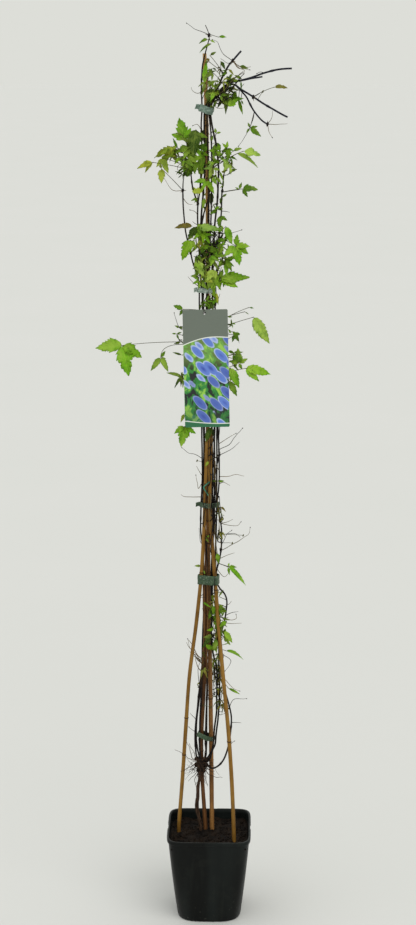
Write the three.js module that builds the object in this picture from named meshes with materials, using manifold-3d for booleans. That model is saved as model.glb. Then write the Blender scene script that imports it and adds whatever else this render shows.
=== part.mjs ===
// A young alpine clematis in a square nursery pot, tied to four bamboo canes, with a hanging label.
// Millimetres, +Z up. The origin is the middle of the pot's underside, and the front looks along -Y.
// Stems, leafstalks and twigs follow routes of hand-chosen points; every leaf is a toothed folded blade.

import * as THREE from "three";
import { mergeVertices } from "three/addons/utils/BufferGeometryUtils.js";
import Module from "manifold-3d";

const wasm = await Module();
wasm.setup();

// Driving dimensions of the pot and its fill
const POT_HEIGHT = 162;
const POT_RIM_HALF = 75;
const POT_FOOT_HALF = 57.5;
const POT_WALL = 1.6;
const POT_FLOOR = 2;
const LIP_HEIGHT = 7;
const LIP_REACH = 2.2;
const LIP_NOTCH = 27;
const DRAIN_RADIUS = 5;
const DRAIN_OFFSET = 34;
const SOIL_TOP = 145;
const GAP = 0.35;

// Driving dimensions of the stems and leaves
const STEM_RADIUS = 1.4;
const STALK_HALF = 0.6;
const TWIG_RADIUS = 0.65;
const BLADE_THICKNESS = 0.8;
const STEM_SIDES = 4;
const STALK_SIDES = 3;
const MERGE = 0.04;

const group = new THREE.Group();

// Colours and finishes
const plastic = (color, roughness) => new THREE.MeshStandardMaterial({ color, roughness, metalness: 0 });
const potBlack = plastic(0x1b1e1c, 0.45);
const peat = plastic(0x2a1c14, 0.95);
const paleCane = plastic(0x9a6a2c, 0.55);
const darkCane = plastic(0x6d3f1e, 0.6);
const bark = plastic(0x2b1c17, 0.85);
const leafGreen = plastic(0x5f9420, 0.5);
const greenTie = plastic(0x35523f, 0.5);
const paleTie = plastic(0x8fab9a, 0.35);
const tealWire = plastic(0x067a62, 0.4);
const cardPrint = plastic(0x6b766c, 0.45);

function place(name, solid, material) {
  const mesh = new THREE.Mesh(fromSolid(solid), material);
  mesh.name = name;
  group.add(mesh);
}

function toSolid(geometry) {
  const bare = geometry.index ? geometry.toNonIndexed() : geometry.clone();
  bare.deleteAttribute("normal");
  bare.deleteAttribute("uv");
  const merged = mergeVertices(bare, 1e-4);
  const vertProperties = new Float32Array(merged.attributes.position.array);
  const corners = Array.from(merged.index.array);
  const kept = [];
  for (let i = 0; i < corners.length; i += 3) {
    const [a, b, c] = corners.slice(i, i + 3);
    if (a !== b && b !== c && c !== a) kept.push(a, b, c);
  }
  return new wasm.Manifold(new wasm.Mesh({ numProp: 3, vertProperties, triVerts: new Uint32Array(kept) }));
}

function fromSolid(solid) {
  const mesh = solid.getMesh();
  const geometry = new THREE.BufferGeometry();
  geometry.setAttribute("position", new THREE.BufferAttribute(mesh.vertProperties, 3));
  geometry.setIndex(new THREE.BufferAttribute(mesh.triVerts, 1));
  return geometry;
}

const vector = ([x, y, z]) => new THREE.Vector3(x, y, z);
const radians = THREE.MathUtils.degToRad;

// A smooth line through hand-chosen points, stepped evenly between them so that tight bends keep their shape.
class Route extends THREE.CatmullRomCurve3 {
  constructor(points) {
    super(points.map(vector), false, "centripetal");
  }

  getPointAt(share, target) {
    return this.getPoint(share, target);
  }

  getTangentAt(share, target) {
    return this.getTangent(share, target);
  }
}

// A round or few-sided rod of one thickness along a line
function rod(curve, radius, sides, steps) {
  const section = new THREE.Shape();
  for (let i = 0; i < sides; i += 1) {
    const turn = (2 * Math.PI * i) / sides;
    const corner = [radius * Math.cos(turn), radius * Math.sin(turn)];
    if (i === 0) section.moveTo(...corner);
    else section.lineTo(...corner);
  }
  return toSolid(new THREE.ExtrudeGeometry(section, { steps, extrudePath: curve }));
}

// Pot and soil: a turned profile pushed out from a circle to a rounded square
const ROUND_STEPS = 28;
const SQUARENESS = 7.5;
const WALL_LEVELS = [6, 80, POT_HEIGHT - LIP_HEIGHT];

function squared(profile) {
  const points = profile.map(([radius, height]) => new THREE.Vector2(radius, height));
  const geometry = new THREE.LatheGeometry(points, ROUND_STEPS);
  geometry.rotateX(Math.PI / 2);
  const position = geometry.attributes.position;
  for (let i = 0; i < position.count; i += 1) {
    const radius = Math.hypot(position.getX(i), position.getY(i));
    const even = Math.atan2(position.getY(i), position.getX(i));
    const turn = even + 0.16 * Math.sin(4 * even);
    const side = (Math.abs(Math.cos(turn)) ** SQUARENESS + Math.abs(Math.sin(turn)) ** SQUARENESS)
      ** (-1 / SQUARENESS);
    position.setXY(i, radius * side * Math.cos(turn), radius * side * Math.sin(turn));
  }
  return geometry;
}

function potHalf(height) {
  const rise = height / (POT_HEIGHT - LIP_HEIGHT);
  const under = POT_RIM_HALF - LIP_REACH;
  return POT_FOOT_HALF + (under - POT_FOOT_HALF) * (rise + 0.18 * rise * (1 - rise));
}

function makePot() {
  const shoulder = POT_HEIGHT - LIP_HEIGHT;
  const outside = WALL_LEVELS.map((height) => [potHalf(height), height]);
  const inside = WALL_LEVELS.map((height) => [potHalf(height) - POT_WALL, height]).reverse();
  const body = toSolid(squared([
    [0, 0],
    [POT_FOOT_HALF - 4, 0],
    ...outside,
    [POT_RIM_HALF, shoulder + 0.5],
    [POT_RIM_HALF, POT_HEIGHT - 1],
    [POT_RIM_HALF - 1, POT_HEIGHT],
    [POT_RIM_HALF - LIP_REACH - POT_WALL, POT_HEIGHT],
    ...inside,
    [potHalf(WALL_LEVELS[0]) - POT_WALL - 2, POT_FLOOR],
    [0, POT_FLOOR],
  ]));
  const cuts = [];
  for (let side = 0; side < 4; side += 1) {
    const notch = new THREE.BoxGeometry(3, LIP_NOTCH, LIP_HEIGHT + 2);
    notch.translate(POT_RIM_HALF - 0.9 + 1.5, 0, POT_HEIGHT - LIP_HEIGHT / 2);
    notch.rotateZ((side * Math.PI) / 2);
    cuts.push(toSolid(notch));
    const drain = new THREE.CylinderGeometry(DRAIN_RADIUS, DRAIN_RADIUS, 4 * POT_FLOOR, 12);
    drain.rotateX(Math.PI / 2);
    drain.translate(DRAIN_OFFSET, 0, 0);
    drain.rotateZ((side * Math.PI) / 2 + Math.PI / 4);
    cuts.push(toSolid(drain));
  }
  return wasm.Manifold.difference([body, ...cuts]);
}

// The soil keeps a small gap to the pot and carries a blind hole for each cane and for the crown's foot.
function soilRelief(x, y) {
  return 1.6 * Math.sin(x / 9 + 1) * Math.cos(y / 11) + 0.9 * Math.sin(x / 4.3 - y / 5.1);
}

function makeSoil(feet) {
  const side = (height) => potHalf(height) - POT_WALL - GAP;
  const geometry = squared([
    [0, POT_FLOOR + GAP],
    [side(WALL_LEVELS[0]) - 3, POT_FLOOR + GAP],
    [side(WALL_LEVELS[0]), WALL_LEVELS[0]],
    [side(WALL_LEVELS[1]), WALL_LEVELS[1]],
    [side(SOIL_TOP), SOIL_TOP],
    [0.5 * POT_RIM_HALF, SOIL_TOP],
    [0, SOIL_TOP],
  ]);
  const position = geometry.attributes.position;
  for (let i = 0; i < position.count; i += 1) {
    const [x, y, z] = [position.getX(i), position.getY(i), position.getZ(i)];
    if (z > SOIL_TOP - 1) position.setZ(i, z + soilRelief(x, y));
  }
  return wasm.Manifold.difference([toSolid(geometry), ...feet]);
}

// Bamboo canes: a turned rod with a ring at each node, bent along its route.
const CANE_SIDES = 6;
const CANES = {
  cane_tall: {
    route: [[5, 26.5, 50], [4.4, 24, 145], [3, 18, 300], [1.3, 13.5, 450], [-1.5, 9.5, 600],
      [-2.5, 6.2, 762], [-3, 5.2, 1000], [-3, 4.2, 1250], [-4.6, 3.2, 1400], [-8, 2, 1524]],
    foot: 4.2, top: 3.2, nodes: [120, 400, 690, 960, 1215, 1408], material: paleCane,
  },
  cane_left: {
    route: [[-56, 9.5, 62], [-55.8, 9, 145], [-48.5, 5, 250], [-42, 2, 350], [-35, 0, 450], [-22.5, -3, 550],
      [-13, -4.5, 650], [-7.5, -5, 762], [-4.2, -5, 875]],
    foot: 3.9, top: 3.3, nodes: [90, 368, 640, 800], material: paleCane,
  },
  cane_right: {
    route: [[46, -29.5, 62], [45, -28.5, 145], [41, -25, 250], [34.5, -22, 350], [25, -17, 450],
      [16, -11, 550], [8.5, -7.5, 650], [1, -7, 762], [3.3, -7, 890]],
    foot: 3.9, top: 3.3, nodes: [110, 333, 610, 760], material: paleCane,
  },
  cane_brown: {
    route: [[-5, 21, 60], [-7.4, 20.8, 145], [-13.5, 17.5, 255], [-14.5, 15, 320], [-11, 13.5, 400],
      [-7, 15, 480], [-5.8, 16.5, 600], [-5, 16, 690]],
    foot: 3.7, top: 3.4, nodes: [85, 300, 448, 610], material: darkCane,
  },
};

// The whole line of a cane swells a little at each node height.
function bentRod({ route, foot, top, nodes }, extra) {
  const curve = new Route(route);
  const [low, high] = [route[0][2], route.at(-1)[2]];
  const radiusAt = (height) => foot + ((top - foot) * (height - low)) / (high - low) + extra;
  const profile = [[0, low], [radiusAt(low), low]];
  for (const height of [...nodes, ...route.slice(1, -1).map((point) => point[2])].sort((a, b) => a - b)) {
    const ring = nodes.includes(height) ? 0.5 : 0;
    if (ring > 0) profile.push([radiusAt(height), height - 4]);
    profile.push([radiusAt(height) + ring, height]);
    if (ring > 0) profile.push([radiusAt(height), height + 4]);
  }
  profile.push([radiusAt(high), high], [0, high]);
  const points = profile.map(([radius, height]) => new THREE.Vector2(radius, height));
  const geometry = new THREE.LatheGeometry(points, CANE_SIDES);
  geometry.rotateX(Math.PI / 2);
  const samples = curve.getPoints(24 * (route.length - 1));
  const position = geometry.attributes.position;
  for (let i = 0; i < position.count; i += 1) {
    const centre = pointAtHeight(samples, position.getZ(i));
    position.setXY(i, position.getX(i) + centre.x, position.getY(i) + centre.y);
  }
  return toSolid(geometry);
}

function pointAtHeight(samples, height) {
  for (let i = 1; i < samples.length; i += 1) {
    const [a, b] = [samples[i - 1], samples[i]];
    if (height <= b.z || i === samples.length - 1) {
      return a.clone().lerp(b, (height - a.z) / (b.z - a.z));
    }
  }
  return samples[0];
}

// Leaves. Each is one thin folded sheet: a small hub at the junction, the blades round it and the stalk
// that leads to the stem. An outline lists [share of the length, share of the half width] from the root
// to the last notch before the tip; the ribs are points along the middle. Both faces are split alike.
const OUTLINES = [
  { upTo: 19, edge: [[0, 0], [0.36, 1]], rib: [0.4] },
  { upTo: 32, edge: [[0, 0], [0.24, 0.92], [0.48, 1], [0.54, 0.72]], rib: [0.45] },
  { upTo: 45, edge: [[0, 0], [0.2, 0.84], [0.42, 1], [0.47, 0.8], [0.7, 0.6]], rib: [0.45] },
  { upTo: 99, edge: [[0, 0], [0.18, 0.8], [0.38, 1], [0.43, 0.84], [0.64, 0.74], [0.69, 0.56]], rib: [0.3, 0.62] },
];
const HUB = 2.4;
const NECK = 0.5;
const LEAST_TURN = 28;

// Width over length, lift of the edges above the rib, and backward curl of the tip, for each leaf form
const FORMS = {
  broad: { width: 0.62, fold: 0.22, curl: 0.1 },
  oval: { width: 0.46, fold: 0.28, curl: 0.12 },
  narrow: { width: 0.24, fold: 0.4, curl: 0.15 },
};

// The plane of a leaf: its face looks towards the azimuth face (0 is the front, 90 is the right) and up
// by lift. A turn is a heading in that plane (0 is right and 90 is up, seen on the face).
function leafPlane(face, lift) {
  const [azimuth, raise] = [radians(face), radians(lift)];
  const normal = new THREE.Vector3(
    Math.cos(raise) * Math.sin(azimuth), -Math.cos(raise) * Math.cos(azimuth), Math.sin(raise));
  const right = new THREE.Vector3(Math.cos(azimuth), Math.sin(azimuth), 0);
  const up = new THREE.Vector3().crossVectors(normal, right);
  const heading = (turn) => right.clone().multiplyScalar(Math.cos(radians(turn)))
    .addScaledVector(up, Math.sin(radians(turn)));
  return { normal, right, up, heading };
}

const turnBetween = (a, b) => Math.abs(((((a - b) % 360) + 540) % 360) - 180);

// The stalk arrives from the side of the stem, turned away from any blade that stands too near.
function stalkTurn(plane, toStem, blades) {
  const wanted = THREE.MathUtils.radToDeg(Math.atan2(toStem.dot(plane.up), toStem.dot(plane.right)));
  for (let change = 0; change < 180; change += 3) {
    for (const turn of [wanted + change, wanted - change]) {
      if (blades.every(([other]) => turnBetween(turn, other) >= LEAST_TURN + 6)) return turn;
    }
  }
  return wanted;
}

// Splits the strip between the rib and one edge, always stepping to whichever comes next along the blade.
function strip(middle, edge, place) {
  const triangles = [];
  let [i, j] = [0, 0];
  while (j < edge.length - 1 || i < middle.length - 1) {
    const edgeNext = j < edge.length - 1 ? place(edge[j + 1]) : Infinity;
    const ribNext = i < middle.length - 1 ? place(middle[i + 1]) : Infinity;
    if (edgeNext <= ribNext) {
      triangles.push([middle[i], edge[j], edge[j + 1]]);
      j += 1;
    } else {
      triangles.push([middle[i], edge[j], middle[i + 1]]);
      i += 1;
    }
  }
  return triangles;
}

function leaf(root, [, junction, face, lift, sag, formName, blades]) {
  const plane = leafPlane(face, lift);
  const centre = vector(junction);
  const form = FORMS[formName];
  const [upper, lower, rim, faces, share] = [[], [], [], [], []];
  const add = (point, normal, half, along) => {
    upper.push(point.clone().addScaledVector(normal, half));
    lower.push(point.clone().addScaledVector(normal, -half));
    share.push(along);
    return upper.length - 1;
  };
  const middle = add(centre, plane.normal, BLADE_THICKNESS / 2, 0);
  const approach = stalkTurn(plane, root.clone().sub(centre), blades);
  const necks = [];
  const parts = [...blades, [approach, 0]].sort((a, b) => wrap(a[0]) - wrap(b[0]));
  for (const [turn, length] of parts) {
    const along = plane.heading(turn);
    const across = new THREE.Vector3().crossVectors(plane.normal, along);
    const neck = centre.clone().addScaledVector(along, HUB);
    let ends;
    if (length > 0) {
      const { edge, rib } = OUTLINES.find((outline) => length < outline.upTo);
      const reach = length - HUB;
      const point = (far, wide) => {
        const offset = Math.sign(wide) * Math.max(NECK, (Math.abs(wide) * length * form.width) / 2);
        const rise = form.fold * (Math.abs(offset) - NECK) * (wide === 0 ? 0 : 1) - form.curl * reach * far ** 2;
        return neck.clone().addScaledVector(along, far * reach).addScaledVector(across, offset)
          .addScaledVector(plane.normal, rise).add(new THREE.Vector3(0, 0, -sag * reach * far ** 2));
      };
      const put = (far, wide) => add(point(far, wide), plane.normal, BLADE_THICKNESS / 2, far);
      const near = edge.map(([far, wide]) => put(far, -Math.max(wide, 0.01)));
      const tip = put(1, 0);
      const back = edge.map(([far, wide]) => put(far, Math.max(wide, 0.01)));
      const ribs = rib.map((far) => put(far, 0));
      const place = (i) => share[i];
      faces.push([near[0], ribs[0], back[0]]);
      faces.push(...strip(ribs, [...near, tip], place));
      faces.push(...strip(ribs, [...back, tip], place).map(([a, b, c]) => [a, c, b]));
      rim.push(...near, tip, ...[...back].reverse());
      ends = [near[0], back[0]];
    } else {
      ends = addStalk(root, neck, along, across, add, rim, faces);
    }
    necks.push(ends);
  }
  for (let i = 0; i < necks.length; i += 1) {
    const next = necks[(i + 1) % necks.length];
    faces.push([middle, necks[i][0], necks[i][1]]);
    faces.push([middle, necks[i][1], next[0]]);
  }
  return sheetSolid(upper, lower, rim, faces);
}

const wrap = (turn) => ((turn % 360) + 360) % 360;

// The stalk is a narrow four-sided strip from the neck back to the stem, turned as little as possible.
function addStalk(root, neck, along, across, add, rim, faces) {
  const reach = root.distanceTo(neck);
  const bend = neck.clone().addScaledVector(along, 0.4 * reach);
  const curve = new THREE.QuadraticBezierCurve3(neck, bend, root);
  const steps = reach > 12 ? Math.min(3, Math.ceil(reach / 22) + 1) : 1;
  const side = across.clone();
  const [near, far] = [[], []];
  for (let i = 0; i <= steps; i += 1) {
    const spot = curve.getPoint(i / steps);
    const heading = i === 0 ? along : curve.getTangent(i / steps);
    side.addScaledVector(heading, -side.dot(heading)).normalize();
    const normal = new THREE.Vector3().crossVectors(heading, side).normalize();
    const half = i === 0 ? NECK : STALK_HALF;
    const thick = i === 0 ? BLADE_THICKNESS / 2 : STALK_HALF;
    near.push(add(spot.clone().addScaledVector(side, -half), normal, thick, 0));
    far.push(add(spot.clone().addScaledVector(side, half), normal, thick, 0));
  }
  for (let i = 1; i <= steps; i += 1) {
    faces.push([near[i - 1], near[i], far[i]], [near[i - 1], far[i], far[i - 1]]);
  }
  rim.push(...near, ...[...far].reverse());
  return [near[0], far[0]];
}

function sheetSolid(upper, lower, rim, faces) {
  const points = [...upper, ...lower];
  const under = upper.length;
  const triangles = [...faces, ...faces.map(([a, b, c]) => [a + under, c + under, b + under])];
  for (let i = 0; i < rim.length; i += 1) {
    const [here, next] = [rim[i], rim[(i + 1) % rim.length]];
    triangles.push([here, here + under, next + under], [here, next + under, next]);
  }
  const geometry = new THREE.BufferGeometry();
  const corners = triangles.flat().flatMap((i) => points[i].toArray());
  geometry.setAttribute("position", new THREE.BufferAttribute(new Float32Array(corners), 3));
  return toSolid(geometry);
}

// A vine is one or more stem routes; leaf rows and twig rows start where the stems pass nearest to a
// point [x, z] of the front view. A leaf row then gives its junction, face, lift, sag, form and blades,
// each blade as [turn, length]. A twig row gives the points that the twig passes through.
const VINES = {
  vine_left: {
    stems: [
      [[-23, 8.5, 291], [-25, 8, 308], [-25.8, 6, 335], [-21.6, 5, 380], [-18.4, 4.2, 418], [-14, 3.2, 455],
        [-10.6, 1.2, 493], [-8.6, 0.4, 545], [-9, 0.6, 600], [-9.8, 1.4, 640], [-11.5, 2.2, 682],
        [-15.2, 1, 718], [-14.3, -1, 762], [-12, -2.2, 806], [-12.8, -3, 870], [-12.4, -3, 940],
        [-13.5, -3, 1040], [-16.6, -3, 1108], [-17.2, -3, 1135], [-20.5, -4, 1158], [-28, -6, 1183],
        [-32, -7, 1203], [-38.5, -8, 1230], [-42.6, -8, 1262], [-44, -8, 1302], [-42, -8, 1325],
        [-37.5, -8, 1346]],
    ],
    leaves: [
      [[-14, 930], [-42, -14, 925], 0, 15, 0.1, "oval", [[-115, 15]]],
      [[-13, 905], [-42, -15, 903], 0, 25, 0.05, "broad", [[-100, 34], [212, 21], [-62, 19], [-30, 22]]],
      [[-14, 1045], [-146, -24, 1044], 0, 28, 0.03, "broad", [[181, 46], [-28, 38], [-77, 52]]],
      [[-14, 1040], [-82, -16, 1022], 0, 20, 0.1, "oval", [[-130, 26], [58, 15], [-58, 25], [-8, 9]]],
      [[-14, 1020], [-47, -14, 990], 0, 10, 0.1, "narrow", [[162, 27], [-125, 22], [-95, 17], [95, 8]]],
      [[-14, 1030], [-46, -13, 1026], 0, 10, 0, "narrow", [[162, 17]]],
      [[-16, 1098], [-44, -13, 1104], 0, 20, 0, "broad", [[158, 18], [-120, 12]]],
      [[-31, 1200], [-31, -17, 1221], 0, 15, 0.05, "broad", [[-116, 35], [-60, 17]]],
      [[-40, 1238], [-28, -20, 1244], 0, 30, 0.12, "oval", [[174, 30]]],
      [[-44, 1303], [-79, -13, 1338], 0, 20, 0, "broad", [[-92, 24], [110, 10]]],
      [[-37, 1345], [-40, -18, 1347], 0, 10, 0, "oval", [[-40, 18], [-150, 9]]],
    ],
    twigs: [
      [[-14, 845], [-26, -6, 852], [-36, -7, 855], [-47, -8, 864]],
      [[-14, 776], [-42, -7, 777], [-49, -8, 781]],
      [[-13, 468], [-24, -7, 492], [-33, -8, 501], [-38, -8, 519]],
      [[-18, 425], [-20.5, 8, 448], [-18, 9, 465], [-12, 3, 478]],
      [[-44, 1300], [-60, -9, 1302], [-67, -10, 1308], [-76, -11, 1326]],
      [[-17, 1142], [-28, -5, 1150], [-36, -5, 1158]],
      [[-16, 1070], [-48, -12, 1071], [-57, -13, 1087], [-59, -13, 1098]],
    ],
    knots: [[-44, 1303], [-31, 1200], [-17, 425]],
  },
  vine_tall: {
    stems: [
      [[-6.5, 8, 293], [-6.5, 6.5, 308], [-7.6, 5.2, 330], [-6.2, 5, 352], [-5.2, 5, 385], [-4.6, 3.6, 425],
        [-4.3, 2.6, 462], [-4.4, 1.6, 495], [-3.2, 0.2, 540], [-3.2, -1.4, 600], [-3.6, -1.4, 650],
        [-6.5, 0.2, 705], [-10, 2.8, 762], [-9.6, 3, 850], [-9.6, 0.4, 930], [-9.4, -5.4, 1040],
        [-11.4, -7.4, 1110], [-12.4, -7.6, 1135], [-14.5, -8, 1160], [-16.8, -8, 1200], [-17.6, -8, 1230],
        [-19.6, -8, 1255], [-19, -8, 1280], [-15.8, -7.6, 1302], [-14, -7, 1322], [-13.4, -6, 1345],
        [-12.8, -5, 1385], [-13.4, -4.4, 1408], [-12, -4.4, 1436], [-12.4, -4.6, 1455], [-13.2, -5, 1472],
        [-12.5, -5, 1490], [-11, -5, 1506], [-7, -5, 1523], [-3, -5, 1537], [0, -5, 1550], [-2.5, -5, 1560],
        [-6.5, -5, 1569]],
      [[-19, -8, 1279], [-24, -8.5, 1294], [-28.5, -9, 1311], [-30.4, -9, 1330], [-29.8, -9, 1350],
        [-28, -9, 1370]],
    ],
    leaves: [
      [[-29, 1360], [-41, -12, 1386], 0, 15, 0, "broad", [[104, 38], [156, 23], [60, 22]]],
      [[-29, 1352], [-52, -11, 1371], 0, 15, 0, "narrow", [[116, 20]]],
      [[-28, 1368], [-58, -13, 1369], 0, 30, 0.3, "broad", [[183, 33], [214, 28]]],
      [[-28, 1370], [-32, -13, 1374], 0, 30, 0.1, "broad", [[200, 26], [-120, 22]]],
      [[-30, 1335], [-93, -21, 1349], 0, 20, 0.25, "oval", [[190, 26], [222, 18]]],
      [[-30, 1340], [-77, -18, 1356], 0, 20, 0, "oval", [[-70, 27], [-120, 18]]],
      [[-13, 1385], [-22, -12, 1402], 0, 20, 0, "broad", [[-98, 44]]],
      [[-14, 1360], [-12, -10, 1364], 0, 15, 0, "oval", [[-93, 29]]],
      [[-14, 1350], [-20, -11, 1348], 0, 20, 0, "broad", [[-135, 19]]],
      [[-19, 1282], [-20, -12, 1296], 0, 20, 0, "broad", [[122, 17], [62, 19]]],
      [[-18, 1235], [-22, -13, 1243], 0, 5, 0, "broad", [[-118, 26], [-75, 24]]],
      [[-16, 1190], [-22, -13, 1187], 0, 20, 0, "broad", [[-64, 30]]],
      [[-12, 1450], [-5, -9, 1464], 0, 20, 0, "oval", [[-72, 22]]],
      [[-12, 1460], [-8, -9, 1476], 0, 0, 0, "narrow", [[86, 38]]],
      [[-12, 1462], [-2, -9, 1470], 0, 15, 0, "oval", [[52, 15]]],
      [[-1, 1545], [-2, -8, 1546], 0, 20, 0.45, "oval", [[178, 15]]],
      [[-3, 1538], [3, -8, 1539], 0, 20, 0.4, "narrow", [[196, 20]]],
      [[0, 1555], [15, -7, 1550], 0, 30, 0.1, "oval", [[10, 13]]],
    ],
    twigs: [
      [[0, 1554], [-12, -5, 1558], [-24, -5, 1563], [-37, -5, 1572]],
      [[-12, 1461], [-20, -6, 1460], [-27, -6, 1464], [-30, -6, 1470]],
    ],
    knots: [[-19, 1280], [-13, 1461], [0, 1553]],
  },
  vine_mid: {
    stems: [
      [[-15.5, -2, 292], [-17.4, 3.4, 318], [-17.2, 5, 345], [-16.5, 5.6, 375], [-14.8, 6.4, 402],
        [-13, 7, 432], [-11.4, 7.4, 465], [-9.2, 5.6, 495], [-8, 5.6, 520], [-10.2, 7, 560], [-10.6, 7.6, 628],
        [-10, 8.6, 700], [-9, 10, 762], [-8.6, 10, 850], [-9.4, 7.2, 930], [-8, -0.2, 1040],
        [-4.6, -2.4, 1110], [-3.2, -2.4, 1140], [-2, -2.4, 1200], [-1.2, -2.8, 1250], [-1.2, -2.8, 1335],
        [-2.6, -3.4, 1370], [-3.4, -4.6, 1410], [-3.6, -6.6, 1432], [0, -8, 1447], [8, -8, 1458],
        [14, -8, 1470], [21, -8, 1485], [27, -8, 1497], [33, -8, 1507], [38, -8, 1512.5], [52, -8, 1528]],
    ],
    leaves: [
      [[5, 1455], [30, -15, 1439], 0, 20, 0, "broad", [[38, 24]]],
      [[12, 1465], [8, -14, 1463], 0, 20, 0, "oval", [[-110, 17]]],
      [[14, 1470], [18, -14, 1458], 0, 20, 0, "oval", [[-70, 11], [0, 13]]],
      [[22, 1488], [19, -13, 1512], 0, 20, 0, "oval", [[-62, 15]]],
      [[37, 1511], [49, -11, 1504], 0, 20, 0, "oval", [[-15, 15]]],
    ],
    twigs: [
      [[38, 1512], [25, -9, 1521], [17, -9, 1533], [12, -9, 1543], [5, -9, 1546]],
      [[38, 1512], [50, -14, 1503], [60, -15, 1502], [68, -15, 1503]],
    ],
    knots: [[23, 1492], [38, 1512]],
  },
  vine_inner: {
    stems: [
      [[-7, 12.5, 294], [-5.6, 13.4, 312], [-5, 14.8, 345], [-4.8, 17, 380], [-4.2, 20.4, 420],
        [-2.4, 20.8, 455], [2, 20, 500], [4.2, 17, 560], [5.2, 14, 628], [5.6, 11.5, 700],
        [5.2, 10.8, 762], [4.6, 10.6, 850], [3, 12.4, 920], [-2, 13.4, 970], [-8, 11, 1030],
        [-10.8, 6.4, 1085], [-10.8, 2, 1115], [-9.4, -2, 1140], [-10, -3.2, 1165], [-12.2, -3.6, 1200],
        [-14.2, -3.6, 1238], [-12.4, -3, 1276], [-9.6, -2.4, 1302], [-7.8, -2.4, 1330], [-7.8, -2.6, 1375],
        [-8.4, -2.4, 1405], [-7.6, -3, 1430], [-4, -3.4, 1444], [4, -3, 1452], [14, -3, 1461], [26, -3, 1472.5],
        [40, -3, 1478.5], [52, -3, 1481], [70, -3, 1486], [90, -2, 1493], [110, -1, 1498], [135, 0, 1500]],
      [[44, -3, 1479], [56, -6, 1481.5], [70, -8, 1484.5], [87, -9, 1487]],
    ],
    leaves: [
      [[24, 1470], [27, -9, 1479], 0, 25, 0, "oval", [[25, 14], [-40, 12]]],
      [[44, 1479], [53, -9, 1484], 0, 25, -0.1, "oval", [[156, 13]]],
      [[50, 1481], [52, -9, 1480], 0, 15, 0, "narrow", [[-90, 14]]],
    ],
    twigs: [
    ],
    knots: [[44, 1479]],
  },
  vine_front: {
    stems: [
      [[-3.2, -0.5, 277], [5, -6, 275], [14, -13, 281], [22, -16, 290], [28.5, -16.5, 302], [34, -16, 320],
        [38.5, -14.5, 350], [39, -13, 376], [35.5, -11, 396], [29.5, -9, 418], [24.5, -7.2, 448],
        [21.6, -5.8, 480], [20, -4.6, 508], [22, -3.8, 532], [27, -3.6, 552], [29.6, -3.4, 570],
        [30.4, -3.4, 588], [27, -3.4, 600], [17, -2.6, 613], [12.6, -2, 626], [13, -1.6, 642],
        [17.5, -1.8, 662], [21, -2, 690], [20.8, -2.4, 722], [17.4, -2.8, 745], [13.6, -3, 764],
        [15.6, -3, 786], [17, -3.2, 812], [17, -3.4, 850], [14.8, -4.2, 900], [10, -6.4, 960], [3, -8.2, 1040],
        [-3.6, -8.4, 1105], [-4.8, -8.4, 1140], [-8, -8.6, 1172], [-11.2, -9, 1205], [-12.6, -9, 1240],
        [-9.4, -8.6, 1262], [-5.2, -8.2, 1276], [-1.6, -7.6, 1290], [1.4, -7.2, 1305], [4.4, -7.2, 1325],
        [6.8, -7.6, 1345], [9.4, -8.4, 1363]],
    ],
    leaves: [
      [[9, 1362], [10, -13, 1367], 0, 20, 0, "broad", [[48, 14], [-25, 12], [170, 11]]],
      [[9, 1362], [29, -12, 1371], 0, 20, 0, "oval", [[85, 13], [125, 12], [-15, 12]]],
      [[7, 1345], [32, -13, 1372], 0, 15, 0, "broad", [[-94, 20]]],
      [[7, 1343], [40, -12, 1367], 0, 20, 0.2, "oval", [[30, 16]]],
      [[6, 1340], [46, -13, 1363], 0, 15, 0.35, "narrow", [[-14, 36]]],
      [[3, 1318], [5, -13, 1325], 0, 20, 0, "broad", [[-62, 15]]],
      [[-9, 1264], [-8, -13, 1290], 0, 20, 0, "oval", [[-100, 18]]],
      [[-13, 1245], [-18, -18, 1241], 0, 30, 0.02, "oval", [[1, 36]]],
      [[-8, 1180], [8, -17, 1172], 0, 20, 0, "broad", [[-122, 24], [-80, 17]]],
      [[-10, 1190], [9, -13, 1196], 0, 20, 0, "oval", [[-108, 20], [-60, 14]]],
      [[-5, 1150], [2, -13, 1160], 0, 15, 0, "oval", [[-97, 22]]],
      [[14, 905], [3, -11, 901], 0, 15, 0, "oval", [[-112, 27], [-75, 16]]],
      [[17, 806], [15, -12, 806], 0, 10, 0, "oval", [[2, 11], [178, 10]]],
      [[20, 655], [33, -7, 651], 0, 20, 0.2, "oval", [[78, 9], [10, 17], [-35, 38]]],
      [[25, 545], [31, -17, 556], 0, 5, 0, "broad", [[-140, 17]]],
      [[23, 535], [27, -18, 538], 0, 5, 0, "oval", [[-58, 26]]],
      [[23, 500], [30, -7, 497], 0, 25, 0.5, "narrow", [[0, 30]]],
    ],
    twigs: [
      [[17, 858], [34, -8, 869], [42, -9, 882], [52, -9, 894], [57, -9, 899]],
      [[17, 812], [35, -5, 813], [48, -6, 817], [60, -6, 814]],
      [[21, 728], [38, -5, 725], [50, -5, 726], [55, -5, 732]],
      [[21, 710], [45, -4, 710], [54, -4, 704]],
      [[20, 680], [45, -5, 694], [60, -5, 704], [69, -5, 711], [71, -5, 722]],
      [[26, 548], [40, -6, 548], [57, -6, 548]],
      [[36, 394], [45, -12, 409], [66, -12, 410]],
      [[39, 366], [48, -14, 366], [57, -14, 365]],
      [[25, 448], [35, -9, 436], [44, -9, 428], [54, -9, 423]],
    ],
    knots: [[17, 851], [21, 733], [21, 681], [28, 555], [-11, 1204]],
  },
  vine_low: {
    stems: [
      [[-0.5, 5.5, 286], [3.5, 3, 298], [7.4, 2.4, 320], [8.8, 1.6, 345], [11, 0.2, 365], [13, -1.2, 385],
        [13.4, -3, 420], [14, -4, 445], [12, -4.4, 468], [8, -4.6, 485], [5, -4.6, 502], [3.6, -4.4, 525],
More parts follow.
